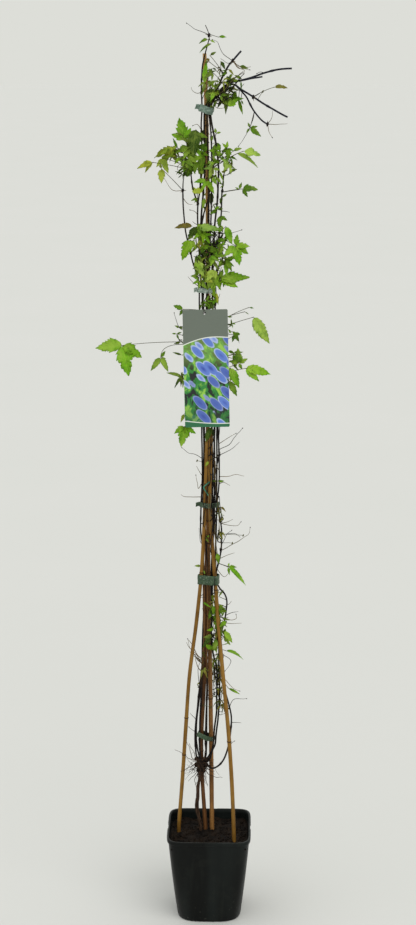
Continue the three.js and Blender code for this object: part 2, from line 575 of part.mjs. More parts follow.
        [4, -3.6, 560], [3.6, -1.4, 600], [3.6, 0.2, 640], [5.2, 2, 680], [8, 2, 725], [8.6, -1, 762],
        [8.6, -1.6, 850], [8.6, -1, 930], [8.4, -1.6, 1040], [5.6, -3.4, 1110], [4.6, -4.4, 1136],
        [5, -5.4, 1170], [7, -5.6, 1205], [8.4, -5.6, 1235], [9.4, -5.4, 1250], [12.8, -5.4, 1276],
        [14.2, -5.4, 1302], [15, -5.4, 1335], [14.4, -5, 1352], [12.8, -4, 1366], [10.4, -2, 1382],
        [6.6, -0.4, 1398], [3.2, 1.6, 1414], [1.4, 3.2, 1430], [4, 3.4, 1443], [12, 3.4, 1456],
        [22, 3.4, 1466], [32, 3.4, 1473], [40, 3.4, 1474.5], [52, 3.4, 1466.5], [72, 3.4, 1454],
        [90, 3.4, 1442.5], [110, 3.4, 1431.5], [129, 3.4, 1421.5]],
      [[44, 3.4, 1472], [53, 7.4, 1463], [61, 9, 1453.5], [67, 9.6, 1442], [74, 10, 1430], [86, 10, 1416],
        [97, 10, 1409]],
    ],
    leaves: [
      [[15, 1338], [17, -8, 1334], 0, 15, 0, "narrow", [[-68, 18]]],
      [[14, 1300], [11, -9, 1324], 0, 20, 0, "oval", [[-48, 13]]],
      [[11, 1265], [13, -9, 1271], 0, 20, 0, "broad", [[214, 14], [5, 10]]],
      [[8, 1235], [14, -9, 1216], 0, 20, 0, "broad", [[-55, 18]]],
      [[7, 1210], [17, -9, 1203], 0, 20, 0, "broad", [[-112, 18]]],
      [[7, 1200], [20, -10, 1188], 0, 15, 0, "oval", [[-108, 13]]],
      [[5, 1160], [13, -9, 1164], 0, 15, 0, "oval", [[-100, 26]]],
      [[5, 1158], [12, -15, 1133], 0, 15, 0, "narrow", [[-80, 21]]],
      [[9, 1070], [75, -18, 1092], 0, 15, 0.04, "oval", [[-61, 50]]],
      [[9, 1050], [39, -13, 1067], 0, 20, 0.1, "oval", [[-46, 16]]],
      [[8, 722], [14, -14, 679], 0, 5, 0, "oval", [[-84, 20]]],
      [[4, 570], [-11, -8, 587], 0, 15, 0, "narrow", [[-34, 17]]],
      [[4, 560], [7, -16, 584], 0, 5, 0, "oval", [[-88, 18]]],
      [[4, 515], [12, -18.5, 524], 0, 5, 0, "oval", [[-96, 24]]],
      [[4, 508], [-7, -9, 509], 0, 15, 0, "oval", [[-30, 21]]],
      [[72, 1455], [107, 2, 1470], 0, 40, 0.1, "oval", [[6, 22]]],
      [[74, 1430], [67, 5, 1404], 0, 20, 0, "oval", [[-38, 23], [10, 13], [110, 10], [-125, 10]]],
      [[50, 1468], [48, -1, 1451], 0, 15, 0, "narrow", [[-75, 26], [10, 9]]],
    ],
    twigs: [
      [[74, 1430], [72, 6, 1416], [60, 4, 1393], [48, 3, 1374]],
      [[97, 1409], [110, 10, 1409], [129, 10, 1410.5]],
      [[97, 1409], [98, 10, 1398], [104, 10, 1388]],
    ],
    knots: [[72, 1456], [97, 1409], [4, 512], [14, 1362]],
  },
  vine_right: {
    stems: [
      [[-3, 10.5, 289], [3, 9.5, 300], [9.6, 7, 314], [11.8, 5.2, 332], [13.8, 3.2, 350], [15.4, 1.6, 364],
        [17, 0.4, 385], [18.2, 0, 415], [17.8, -0.8, 445], [17, -0.8, 475], [16.4, -0.2, 502], [13, 0.6, 525],
        [11.8, 1.2, 560], [10.8, 2.2, 600], [10.6, 3.4, 640], [11.4, 4, 700], [12.6, 3.4, 762],
        [12.8, 2.4, 850], [13.4, 3.6, 930], [12.6, 3.4, 1040], [9.6, 1.4, 1110], [9, 1, 1136],
        [10.4, -0.4, 1157], [13.4, -2, 1171], [18.6, -3.4, 1180], [22.4, -4, 1190], [21, -4.4, 1202],
        [17.4, -4.6, 1217], [16.8, -4.8, 1232], [18.6, -4.8, 1248], [19.8, -4.8, 1266], [20.4, -4.8, 1284],
        [21.6, -4.8, 1303], [23.6, -4.8, 1322], [26, -4.8, 1338], [29.4, -5.2, 1350], [32, -6, 1357]],
    ],
    leaves: [
      [[31, 1355], [57, -12, 1367], 0, 25, 0.03, "broad", [[-10, 28]]],
      [[27, 1342], [28, -9, 1345], 0, 20, 0.3, "narrow", [[-12, 16]]],
      [[21, 1300], [50, -10, 1304], 0, 20, 0, "oval", [[75, 13], [152, 8]]],
      [[21, 1300], [55, -11, 1305], 0, 25, 0.1, "broad", [[8, 26], [-55, 15]]],
      [[19, 1250], [18, -10, 1260], 0, 20, 0, "broad", [[-98, 18], [-32, 14]]],
      [[17, 1232], [28, -11, 1243], 0, 15, 0, "oval", [[-72, 31]]],
      [[17, 1225], [44, -14, 1211], 0, 20, 0, "broad", [[80, 20], [2, 24], [-78, 33], [-138, 25], [-30, 25]]],
      [[22, 1190], [28, -10, 1189], 0, 15, 0, "oval", [[-64, 23]]],
      [[12, 1165], [18, -9, 1154], 0, 25, 0, "oval", [[8, 50], [-20, 33], [78, 20]]],
      [[13, 1020], [50, -16, 1013], 0, 20, 0, "broad", [[30, 17], [165, 17], [92, 26], [-60, 12]]],
      [[13, 990], [62, -20, 1005], 0, 25, 0.02, "oval", [[-9, 43], [-44, 31]]],
      [[13, 985], [36, -16, 1005], 0, 15, 0, "oval", [[-66, 37], [-100, 16]]],
      [[13, 970], [34, -13, 982], 0, 15, 0, "oval", [[-62, 29]]],
    ],
    twigs: [
      [[17, 1230], [33, -8, 1230], [41, -8, 1233], [54, -8, 1237]],
    ],
    knots: [[21, 1301], [18, 421], [14, 1170]],
  },
  vine_back: {
    stems: [
      [[-18, 12.6, 289], [-22.4, 15, 306], [-24, 18.6, 338], [-20.4, 21.4, 380], [-15.4, 22.4, 425],
        [-13, 23.4, 470], [-12.4, 23.6, 520], [-9, 23.8, 570], [-1.4, 22.4, 628], [0, 18.6, 700],
        [-1.2, 15.8, 762], [-2, 15.4, 850], [-4, 17.6, 930], [-3, 19, 1000], [-2, 17, 1070],
        [-1.4, 13.4, 1136], [1, 13.6, 1210], [3, 13.4, 1290], [3.4, 12.4, 1360], [1, 10.6, 1410],
        [-2.2, 9.8, 1436], [-4, 12, 1470], [-1, 14, 1500]],
    ],
    leaves: [],
    twigs: [],
    knots: [[-2, 850], [1, 1210]],
  },
};

// The back stem's leaves aren't seen from the front.
// They grow behind the label, the bundle and the front leaves.
VINES.vine_back.leaves = [
  [[0, 1085], [-22, 38, 1076], 165, 25, 0.1, "broad", [[-60, 26], [-110, 22]]],
  [[-2, 1010], [-14, 44, 998], 170, 30, 0.1, "broad", [[-95, 34], [-40, 22]]],
  [[0, 975], [12, 40, 960], 200, 20, 0.1, "oval", [[-85, 30], [-128, 20]]],
  [[-4, 940], [-16, 34, 930], 160, 25, 0.1, "broad", [[-80, 24], [-30, 15]]],
  [[0, 1165], [-10, 32, 1172], 175, 25, 0.1, "broad", [[-90, 26], [-40, 18]]],
  [[2, 1205], [8, 34, 1214], 190, 25, 0.1, "oval", [[-75, 26], [-125, 20]]],
  [[3, 1300], [2, 30, 1296], 170, 15, 0.1, "oval", [[-90, 22]]],
  [[3, 1340], [-14, 36, 1352], 165, 25, 0.1, "broad", [[-80, 32], [-130, 20]]],
  [[3, 1370], [12, 34, 1378], 200, 25, 0.1, "oval", [[-80, 26], [-120, 18]]],
  [[0, 1410], [-8, 30, 1402], 180, 25, 0.1, "broad", [[-90, 26]]],
  [[-4, 1465], [2, 30, 1468], 190, 20, 0.1, "oval", [[-70, 22], [-120, 18]]],
  [[0, 700], [1, 34, 704], 185, 25, 0.1, "oval", [[-90, 18]]],
  [[-8, 575], [-4, 40, 580], 180, 20, 0.1, "oval", [[-85, 20]]],
];

function alongStraights(points) {
  const samples = [];
  for (let i = 1; i < points.length; i += 1) {
    for (let share = 0; share < 1; share += 0.1) samples.push(points[i - 1].clone().lerp(points[i], share));
  }
  return samples;
}

function nearest(samples, [x, z]) {
  const away = (point) => (point.x - x) ** 2 + (point.z - z) ** 2;
  return samples.reduce((best, point) => (away(point) < away(best) ? point : best));
}

function makeVine({ stems, leaves, twigs, knots }) {
  const curves = stems.map((points) => new Route(points));
  const solids = curves.map((curve) => rod(curve, STEM_RADIUS, STEM_SIDES, curve.points.length - 1));
  const samples = curves.flatMap((curve) => alongStraights(curve.points));
  for (const row of leaves) solids.push(leaf(nearest(samples, row[0]), row));
  for (const [start, ...points] of twigs) {
    const route = new Route([nearest(samples, start).toArray(), ...points]);
    solids.push(rod(route, TWIG_RADIUS, STALK_SIDES, points.length));
  }
  for (const spot of knots) {
    const centre = nearest(samples, spot);
    const knob = new THREE.IcosahedronGeometry(2.6);
    knob.scale(1, 1, 1.3);
    knob.translate(centre.x, centre.y, centre.z);
    solids.push(toSolid(knob));
  }
  return wasm.Manifold.union(solids).simplify(MERGE);
}

// The crown: a woody foot with a second root strand and the old knot that the stems rise from.
const CROWN = {
  foot: [[-15, 20, 118], [-15, 19.5, 145], [-20, 18, 172], [-22, 15.5, 200], [-20.5, 12.5, 228],
    [-18, 9, 252], [-15.5, 6, 272]],
  strand: [[-14, 15, 138], [-17, 14, 158], [-23, 13, 178], [-25.5, 12.5, 194], [-24, 13, 208]],
  knot: [-14.5, 4.5, 277],
  rootlets: [
    [[-20, 4, 284], [-30, -3, 290], [-45, -6, 300], [-62, -6, 310]],
    [[-19, 4, 286], [-27, 2, 297], [-36, 0, 320]],
    [[-19, 2, 280], [-31, -2, 296], [-36, -5, 312], [-40, -6, 325]],
    [[-20, 5, 276], [-29, 3, 270]],
    [[-19, 5, 272], [-26, 4, 258], [-38, 3, 246]],
    [[-18, 5, 270], [-25, 4, 250], [-24, 4, 234]],
    [[-11, 3.5, 272], [2, 0, 268], [10, -2, 268]],
    [[-12.5, 4, 269], [-7, 3, 248], [-3, 3, 236]],
  ],
};

function makeCrown() {
  const knot = new THREE.IcosahedronGeometry(1, 1);
  knot.scale(8, 5.5, 12);
  knot.rotateY(radians(-12));
  knot.translate(...CROWN.knot);
  const foot = new Route(CROWN.foot);
  const strand = new Route(CROWN.strand);
  return wasm.Manifold.union([
    toSolid(knot),
    rod(foot, 2.7, 6, CROWN.foot.length - 1),
    rod(strand, 1.4, 4, CROWN.strand.length - 1),
    ...CROWN.rootlets.map((points) => rod(new Route(points), TWIG_RADIUS, STALK_SIDES, points.length - 1)),
  ]);
}

// Ties: each is a strip pulled taut round the canes and stems that it holds, tilted a little, and some
// have a tail. The strip follows the convex outline round its members.
const TIES = {
  tie_top: { height: 1432, wide: 12, tilt: 18, slack: 0.7, tail: [8, 9],
    holds: ["cane_tall", "vine_tall", "vine_mid", "vine_inner", "vine_low", "vine_back"], material: paleTie },
  tie_clear: { height: 1135.5, wide: 9, tilt: 0, slack: 0.6, tail: [7, 8], material: paleTie,
    holds: ["cane_tall", "vine_left", "vine_tall", "vine_mid", "vine_inner", "vine_front", "vine_low",
      "vine_right", "vine_back"] },
  tie_upper: { height: 762, wide: 9, tilt: 0, slack: 0.6, tail: [8, 8], material: greenTie,
    holds: ["cane_tall", "cane_left", "cane_right", "vine_left", "vine_tall", "vine_mid", "vine_inner",
      "vine_front", "vine_low", "vine_right", "vine_back"] },
  tie_lower: { height: 627.5, wide: 17, tilt: 0, slack: 0.7, tail: null, material: greenTie,
    holds: ["cane_tall", "cane_left", "cane_right", "cane_brown", "vine_left", "vine_tall", "vine_mid",
      "vine_inner", "vine_front", "vine_low", "vine_right", "vine_back"] },
  tie_crown: { height: 326, wide: 9, tilt: 26, slack: 0.6, tail: null, material: greenTie,
    holds: ["cane_tall", "cane_brown", "vine_tall", "vine_mid", "vine_inner"] },
};
const TIE_THICKNESS = 1;
const CIRCLE_STEPS = 12;

function lineOf(name) {
  if (CANES[name]) {
    const { route, foot, top } = CANES[name];
    const samples = new Route(route).getPoints(24 * (route.length - 1));
    return { samples, radius: Math.max(foot, top) };
  }
  return { samples: alongStraights(VINES[name].stems[0].map(vector)), radius: STEM_RADIUS };
}

// The members as circles in the plane of the tie, taken at both edges and the middle of the strip
function membersOf({ height, wide, tilt, holds }) {
  const [cos, sin] = [Math.cos(radians(tilt)), Math.sin(radians(tilt))];
  return holds.flatMap((name) => [-0.5, 0, 0.5].map((edge) => {
    const { samples, radius } = lineOf(name);
    const level = edge * wide;
    let x = 0;
    let spot = null;
    for (let i = 0; i < 5; i += 1) {
      spot = pointAtHeight(samples, height - x * sin + level * cos);
      x = (spot.x - level * sin) / cos;
    }
    return { x, y: spot.y, radius };
  }));
}

// The convex outline round circles that are each grown by the given amount
function tautLine(circles, grown) {
  const spots = circles.flatMap(({ x, y, radius }) => Array.from({ length: CIRCLE_STEPS }, (_, i) => {
    const turn = (2 * Math.PI * i) / CIRCLE_STEPS;
    const reach = (radius + grown) / Math.cos(Math.PI / CIRCLE_STEPS);
    return new THREE.Vector2(x + reach * Math.cos(turn), y + reach * Math.sin(turn));
  }));
  spots.sort((a, b) => a.x - b.x || a.y - b.y);
  const half = (list) => {
    const line = [];
    for (const spot of list) {
      while (line.length > 1) {
        const [a, b] = line.slice(-2);
        if (b.clone().sub(a).cross(spot.clone().sub(b)) > 1e-6) break;
        line.pop();
      }
      line.push(spot);
    }
    return line.slice(0, -1);
  };
  return [...half(spots), ...half([...spots].reverse())];
}

function makeTie(tie) {
  const circles = membersOf(tie);
  const band = new THREE.Shape(tautLine(circles, tie.slack + TIE_THICKNESS));
  band.holes.push(new THREE.Path(tautLine(circles, tie.slack)));
  const strip = new THREE.ExtrudeGeometry(band, { depth: tie.wide, bevelEnabled: false });
  strip.translate(0, 0, -tie.wide / 2);
  const solids = [toSolid(strip)];
  if (tie.tail) {
    const [reach, width] = tie.tail;
    const end = band.getPoints().reduce((best, spot) => (spot.x < best.x ? spot : best));
    const flap = new THREE.BoxGeometry(reach, TIE_THICKNESS, width);
    flap.translate(end.x + 0.6 - reach / 2, end.y, 0);
    solids.push(toSolid(flap));
  }
  const matrix = new THREE.Matrix4().makeRotationY(radians(tie.tilt)).setPosition(0, 0, tie.height);
  return wasm.Manifold.union(solids).transform(matrix.elements);
}

// The short twist of coated wire lies hooked over the left cane.
const TWIST = [[0.5, -12.6, 805], [-4, -10.6, 800.5], [-9.4, -10.2, 794.5], [-6, -10.6, 788], [-1, -12.4, 780]];

// The label: a card with a round hole, hung by its loop, leaning on the bundle.
const LABEL = { width: 76, height: 204, thickness: 0.8, corner: 2, top: [-7, -17.5, 1104], lean: 1.2, pitch: 1.2 };
const LABEL_HOLE = [-1, 6, 2.6];
const LOOP = [[-3.8, -4.9, 1112], [-7.6, -8, 1113], [-8.6, -13, 1111], [-8.6, -19.6, 1107.5], [-8.2, -20.6, 1101],
  [-7.9, -18, 1098], [-6.4, -13.4, 1100], [-1.4, -12.4, 1107], [0, -9, 1111], [-0.6, -5.4, 1112]];

function makeLabel() {
  const { width, height, thickness, corner, top, lean, pitch } = LABEL;
  const half = width / 2;
  const card = new THREE.Shape();
  card.moveTo(-half + corner, 0);
  card.lineTo(half - corner, 0);
  card.quadraticCurveTo(half, 0, half, -corner);
  card.lineTo(half, -height + corner);
  card.quadraticCurveTo(half, -height, half - corner, -height);
  card.lineTo(-half + corner, -height);
  card.quadraticCurveTo(-half, -height, -half, -height + corner);
  card.lineTo(-half, -corner);
  card.quadraticCurveTo(-half, 0, -half + corner, 0);
  const hole = new THREE.Path();
  hole.absarc(LABEL_HOLE[0], -LABEL_HOLE[1], LABEL_HOLE[2], 0, 2 * Math.PI, false);
  card.holes.push(hole);
  const sheet = new THREE.ExtrudeGeometry(card, { depth: thickness, bevelEnabled: false, curveSegments: 4 });
  sheet.translate(0, 0, -thickness / 2);
  sheet.rotateX(Math.PI / 2);
  sheet.rotateY(radians(-lean));
  sheet.rotateX(radians(-pitch));
  sheet.translate(...top);
  return toSolid(sheet);
}

const loopCurve = new THREE.CatmullRomCurve3(LOOP.map(vector), true, "centripetal");

place("pot", makePot(), potBlack);
const feet = Object.values(CANES).map((cane) => bentRod(cane, GAP));
const crownHole = rod(new Route(CROWN.foot), 2.7 + GAP + 0.15, 6, CROWN.foot.length - 1);
const strandHole = rod(new Route(CROWN.strand), 1.4 + GAP + 0.15, 4, CROWN.strand.length - 1);
place("soil", makeSoil([...feet, crownHole, strandHole]), peat);
for (const [name, cane] of Object.entries(CANES)) place(name, bentRod(cane, 0), cane.material);
place("crown", makeCrown(), bark);
for (const [name, vine] of Object.entries(VINES)) place(name, makeVine(vine), leafGreen);
for (const [name, tie] of Object.entries(TIES)) place(name, makeTie(tie), tie.material);
place("twist_wire", rod(new Route(TWIST), 1.1, 5, 4), tealWire);
place("label", makeLabel(), cardPrint);
place("label_loop", rod(loopCurve, 0.7, 4, 20), bark);

export default group;
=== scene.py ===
# %% [markdown]
# # A potted alpine clematis
#
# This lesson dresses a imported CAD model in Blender. The object is a young climber in a square black pot: four
# bamboo canes, a bundle of thin woody stems tied to them, thin toothed leaves and a hanging card. The CAD model
# gives the places and the sizes. Here each plain solid gets a finer surface of the same form, and a finish that
# is worked out from its own coordinates.

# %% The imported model
import math
import bmesh
import bpy
import numpy as np
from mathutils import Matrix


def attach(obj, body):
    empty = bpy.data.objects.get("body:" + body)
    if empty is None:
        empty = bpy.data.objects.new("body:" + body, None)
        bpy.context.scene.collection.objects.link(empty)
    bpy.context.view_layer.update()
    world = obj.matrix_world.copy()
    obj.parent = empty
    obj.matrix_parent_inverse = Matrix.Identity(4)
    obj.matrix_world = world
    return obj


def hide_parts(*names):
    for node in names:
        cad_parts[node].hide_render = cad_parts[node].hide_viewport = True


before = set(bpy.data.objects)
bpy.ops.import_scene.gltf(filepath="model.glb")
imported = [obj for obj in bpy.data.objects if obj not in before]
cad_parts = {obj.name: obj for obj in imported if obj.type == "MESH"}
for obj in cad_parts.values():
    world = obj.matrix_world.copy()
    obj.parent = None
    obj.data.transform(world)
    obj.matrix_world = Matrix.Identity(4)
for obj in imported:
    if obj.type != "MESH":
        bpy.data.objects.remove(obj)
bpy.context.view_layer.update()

# %% [markdown]
# ## The camera
#
# The picture was taken from about three metres away, with the camera as high as the top of the plant and tipped
# a little down. That is why the pot shows its soil and the upper leaves are seen straight on. A portrait picture
# has its longer side upright, and the sensor's width in Blender then belongs to that side. The lens follows from
# the focal length in pixels, 1800, over the picture's height of 925.

# %% The camera
PICTURE_HEIGHT, FOCAL_PIXELS, SENSOR = 925, 1800, 36
CAMERA_PLACE = (0.0654, -3.0197, 1.5470)
CAMERA_TIP, CAMERA_TURN = math.radians(76.76), math.radians(1.285)


def new_object(name, data):
    """An object that holds these data, put into the scene."""
    made = bpy.data.objects.new(name, data)
    bpy.context.scene.collection.objects.link(made)
    return made


camera_data = bpy.data.cameras.new("camera")
camera_data.sensor_width = SENSOR
camera_data.lens = SENSOR * FOCAL_PIXELS / PICTURE_HEIGHT
camera = new_object("camera", camera_data)
camera.location = CAMERA_PLACE
camera.rotation_euler = (CAMERA_TIP, 0, CAMERA_TURN)
bpy.context.scene.camera = camera
print("The lens is", round(camera_data.lens, 2), "mm")

# %% [markdown]
# ## Lines and rods
#
# Stems, leafstalks, canes, cord and wire are all long and thin. Each could be a Blender curve with a bevel, but a
# finish could then not tell how far along it is. So a smooth line is worked out from a few measured points, and
# rings are carried along it. The rings need a side direction that never lies along the line: of all directions,
# it is the one that the line runs in least.

# %% A smooth line and rings along it
def smooth_line(points, each, closed=False):
    """A smooth line through the points. Between two of them it is a cubic; the slope at a point blends the slopes
    to its two neighbours, and each span is as long as the square root of its distance. Returns rows of x, y, z."""
    p = np.array(points, float)
    if closed:
        p = np.vstack([p[-1], p, p[0], p[1]])
    else:
        p = np.vstack([2 * p[0] - p[1], p, 2 * p[-1] - p[-2]])
    step = np.diff(p, axis=0)
    span = np.sqrt(np.linalg.norm(step, axis=1, keepdims=True))
    slope = step / span
    a, b, c = span[:-2], span[1:-1], span[2:]
    leave = (slope[:-2] - (step[:-2] + step[1:-1]) / (a + b) + slope[1:-1]) * b
    arrive = (slope[1:-1] - (step[1:-1] + step[2:]) / (b + c) + slope[2:]) * b
    start, chord = p[1:-2, None], step[1:-1, None]
    leave, arrive = leave[:, None], arrive[:, None]
    t = np.linspace(0, 1, each, endpoint=False)[None, :, None]
    line = start + leave * t + (3 * chord - 2 * leave - arrive) * t**2 + (leave + arrive - 2 * chord) * t**3
    line = line.reshape(-1, 3)
    return line if closed else np.vstack([line, p[-2]])


def unit(vectors):
    """Each vector divided by its length."""
    return vectors / np.maximum(np.linalg.norm(vectors, axis=-1, keepdims=True), 1e-9)


def distance_along(line):
    """How far each point of a line is from its start, as the sum of the steps before it."""
    return np.concatenate([[0], np.cumsum(np.linalg.norm(np.diff(line, axis=0), axis=1))])


def ring_faces(rings, around, closed=False, ends=True):
    """Four-cornered faces between neighbouring rings. The ends of an open rod are closed by a fan of four-cornered
    faces, which needs an even number of points around, or left open."""
    i = np.arange(rings if closed else rings - 1)[:, None]
    j = np.arange(around)[None, :]
    above, beside = (i + 1) % rings, (j + 1) % around
    side = np.stack([i * around + j, i * around + beside, above * around + beside, above * around + j], axis=-1)
    side = side.reshape(-1, 4)
    if closed or not ends:
        return side
    k = np.arange(1, around - 1, 2)
    end = np.stack([0 * k, k, k + 1, k + 2], axis=-1)
    return np.vstack([side, end[:, ::-1], end + (rings - 1) * around])


def rod(line, radius, around, closed=False, flat=1.0):
    """Rings along a line: centre + radius x (cosine x side + flat x sine x other), where side and other are at
    right angles to the line. Also returns laid, the same rod laid straight, so that a pattern follows it."""
    run = np.gradient(line, axis=0)
    if closed:
        run = np.roll(line, -1, axis=0) - np.roll(line, 1, axis=0)
    run = unit(run)
    least = np.linalg.eigh(run.T @ run)[1][:, 0]
    side = unit(least - (run @ least)[:, None] * run)
    other = np.cross(run, side)
    turn = np.arange(around) * 2 * math.pi / around
    radius = np.broadcast_to(np.asarray(radius, float), (len(line),))[:, None, None]
    cosine, sine = np.cos(turn)[None, :, None], np.sin(turn)[None, :, None]
    points = line[:, None] + radius * (cosine * side[:, None] + flat * sine * other[:, None])
    far = np.broadcast_to(distance_along(line)[:, None, None], radius.shape[:1] + (around, 1))
    laid = np.concatenate([radius * cosine + 0 * far, radius * sine + 0 * far, far], axis=-1)
    return points, ring_faces(len(line), around, closed), laid


print("A test line of 3 points gives", len(smooth_line([(0, 0, 0), (1, 0, 2), (0, 0, 4)], 6)), "points")

# %% [markdown]
# ## Pieces
#
# A leafy stem is one piece, though it is made of hundreds of rods and blades. A small collector joins their
# points and faces, and hands them to Blender once. Every point also carries two values for the finishes: laid,
# its place on the straightened rod or on the blade, in metres, and tint, a colour of its own. The work is done
# in millimetres and the mesh is in metres, at the origin, as the CAD objects are.

# %% The collector
MILLIMETRE = 0.001
NEAR_POLE = 0.97


class Piece:
    """Collects surfaces. Each brings points in millimetres, four-cornered faces, and what its finish reads."""

    def __init__(self):
        self.points, self.faces, self.finish, self.laid, self.tint = [], [], [], [], []
        self.count = 0

    def add(self, surface, finish=0, tint=(1, 1, 1, 1)):
        """The tint is one colour, or a row of them, one for each ring or each point."""
        points, faces, laid = surface
        points, tint = np.asarray(points, float).reshape(-1, 3), np.atleast_2d(np.asarray(tint, float))
        self.points.append(points)
        self.faces.append(np.asarray(faces).reshape(-1, 4) + self.count)
        self.finish.append(np.full(len(self.faces[-1]), finish))
        self.laid.append(np.asarray(laid, float).reshape(-1, 3))
        self.tint.append(np.repeat(tint, len(points) // len(tint), axis=0))
        self.count += len(points)

    def make(self, name, finishes, nodes):
        """Hands the surfaces to Blender as one mesh that stands for these nodes of the model."""
        mesh = bpy.data.meshes.new(name)
        points = np.vstack(self.points) * MILLIMETRE
        mesh.from_pydata(points.tolist(), [], np.vstack(self.faces).tolist())
        mesh.polygons.foreach_set("material_index", np.concatenate(self.finish).astype(np.int32))
        mesh.polygons.foreach_set("use_smooth", np.ones(len(mesh.polygons), bool))
        laid = mesh.attributes.new("laid", "FLOAT_VECTOR", "POINT")
        laid.data.foreach_set("vector", (np.vstack(self.laid) * MILLIMETRE).ravel().astype(np.float32))
        tint = mesh.attributes.new("tint", "FLOAT_COLOR", "POINT")
        tint.data.foreach_set("color", np.vstack(self.tint).ravel().astype(np.float32))
        for finish in finishes:
            mesh.materials.append(finish)
        mesh.validate()
        mesh.update()
        made = new_object(name, mesh)
        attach(made, "root")
        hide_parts(*nodes)
        print(f"{name}: {len(mesh.vertices)} points, {2 * len(mesh.polygons)} triangles")
        return made


def lump(centre, half, lean, rings, around, rough=0.0, seed=0):
    """A rounded lump: a rod whose radius is the square root of 1 minus the squared share along it, so that it is
    an ellipsoid with cut poles. rough pushes its points in and out by that share of their distance from the
    middle."""
    share = np.sin(np.linspace(-1, 1, rings) * math.pi / 2 * NEAR_POLE)
    line = np.array(centre, float) + share[:, None] * unit(np.array(lean, float)) * half[2]
    width = (half[0] + half[1]) / 2
    points, faces, laid = rod(line, width * np.sqrt(1 - share**2), around, flat=half[1] / width)
    if rough:
        push = 1 + rough * np.random.default_rng(seed).uniform(-1, 1, points.shape[:2])
        points = centre + (points - centre) * push[..., None]
    return points, faces, laid


# %% [markdown]
# ## Writing a finish as arithmetic
#
# A node tree is arithmetic drawn as boxes. With one small class the arithmetic can be written as it is: a Value
# wraps a socket, and adding, multiplying or comparing two of them adds the Math node. Colours and vectors go
# through Mix and Vector Math, since a Math node would turn them grey.

# %% Paint chart colours
def paint(red, green, blue):
    """A colour as a paint chart gives it, 0 to 255, made linear: below 4 % it is divided by 12.92, and above it
    the power 2.4 is taken of the share plus 0.055 over 1.055."""
    chart = np.array([red, green, blue]) / 255
    light = np.where(chart <= 0.04045, chart / 12.92, ((chart + 0.055) / 1.055) ** 2.4)
    return (*[round(float(v), 4) for v in light], 1.0)


print("Leaf green as linear light:", paint(100, 160, 30))

# %% Sockets that can be added and multiplied
class Value:
    """A socket of numbers. The operators add Math nodes to its tree."""

    def __init__(self, finish, socket):
        self.finish, self.socket = finish, socket

    def maths(self, operation, *values):
        return self.finish.node("ShaderNodeMath", {"operation": operation}, dict(enumerate(values)))

    def __add__(self, other):
        return self.maths("ADD", self, other)

    def __sub__(self, other):
        return self.maths("SUBTRACT", self, other)

    def __rsub__(self, other):
        return self.maths("SUBTRACT", other, self)

    def __mul__(self, other):
        return self.maths("MULTIPLY", self, other)

    def __abs__(self):
        return self.maths("ABSOLUTE", self)

    __radd__, __rmul__ = __add__, __mul__

    def one(self, name):
        """The sine, fract or sqrt of this number."""
        return self.maths(name.upper(), self)

    def most(self, other):
        return self.maths("MAXIMUM", self, other)

    def rise(self, low, high):
        """0 up to low, 1 from high, and a smooth step between them; turned round where high is the smaller."""
        back = float(low > high)
        inputs = {"Value": self, "From Min": min(low, high), "From Max": max(low, high), "To Min": back,
                  "To Max": 1 - back}
        return self.finish.node("ShaderNodeMapRange", {"interpolation_type": "SMOOTHSTEP"}, inputs)


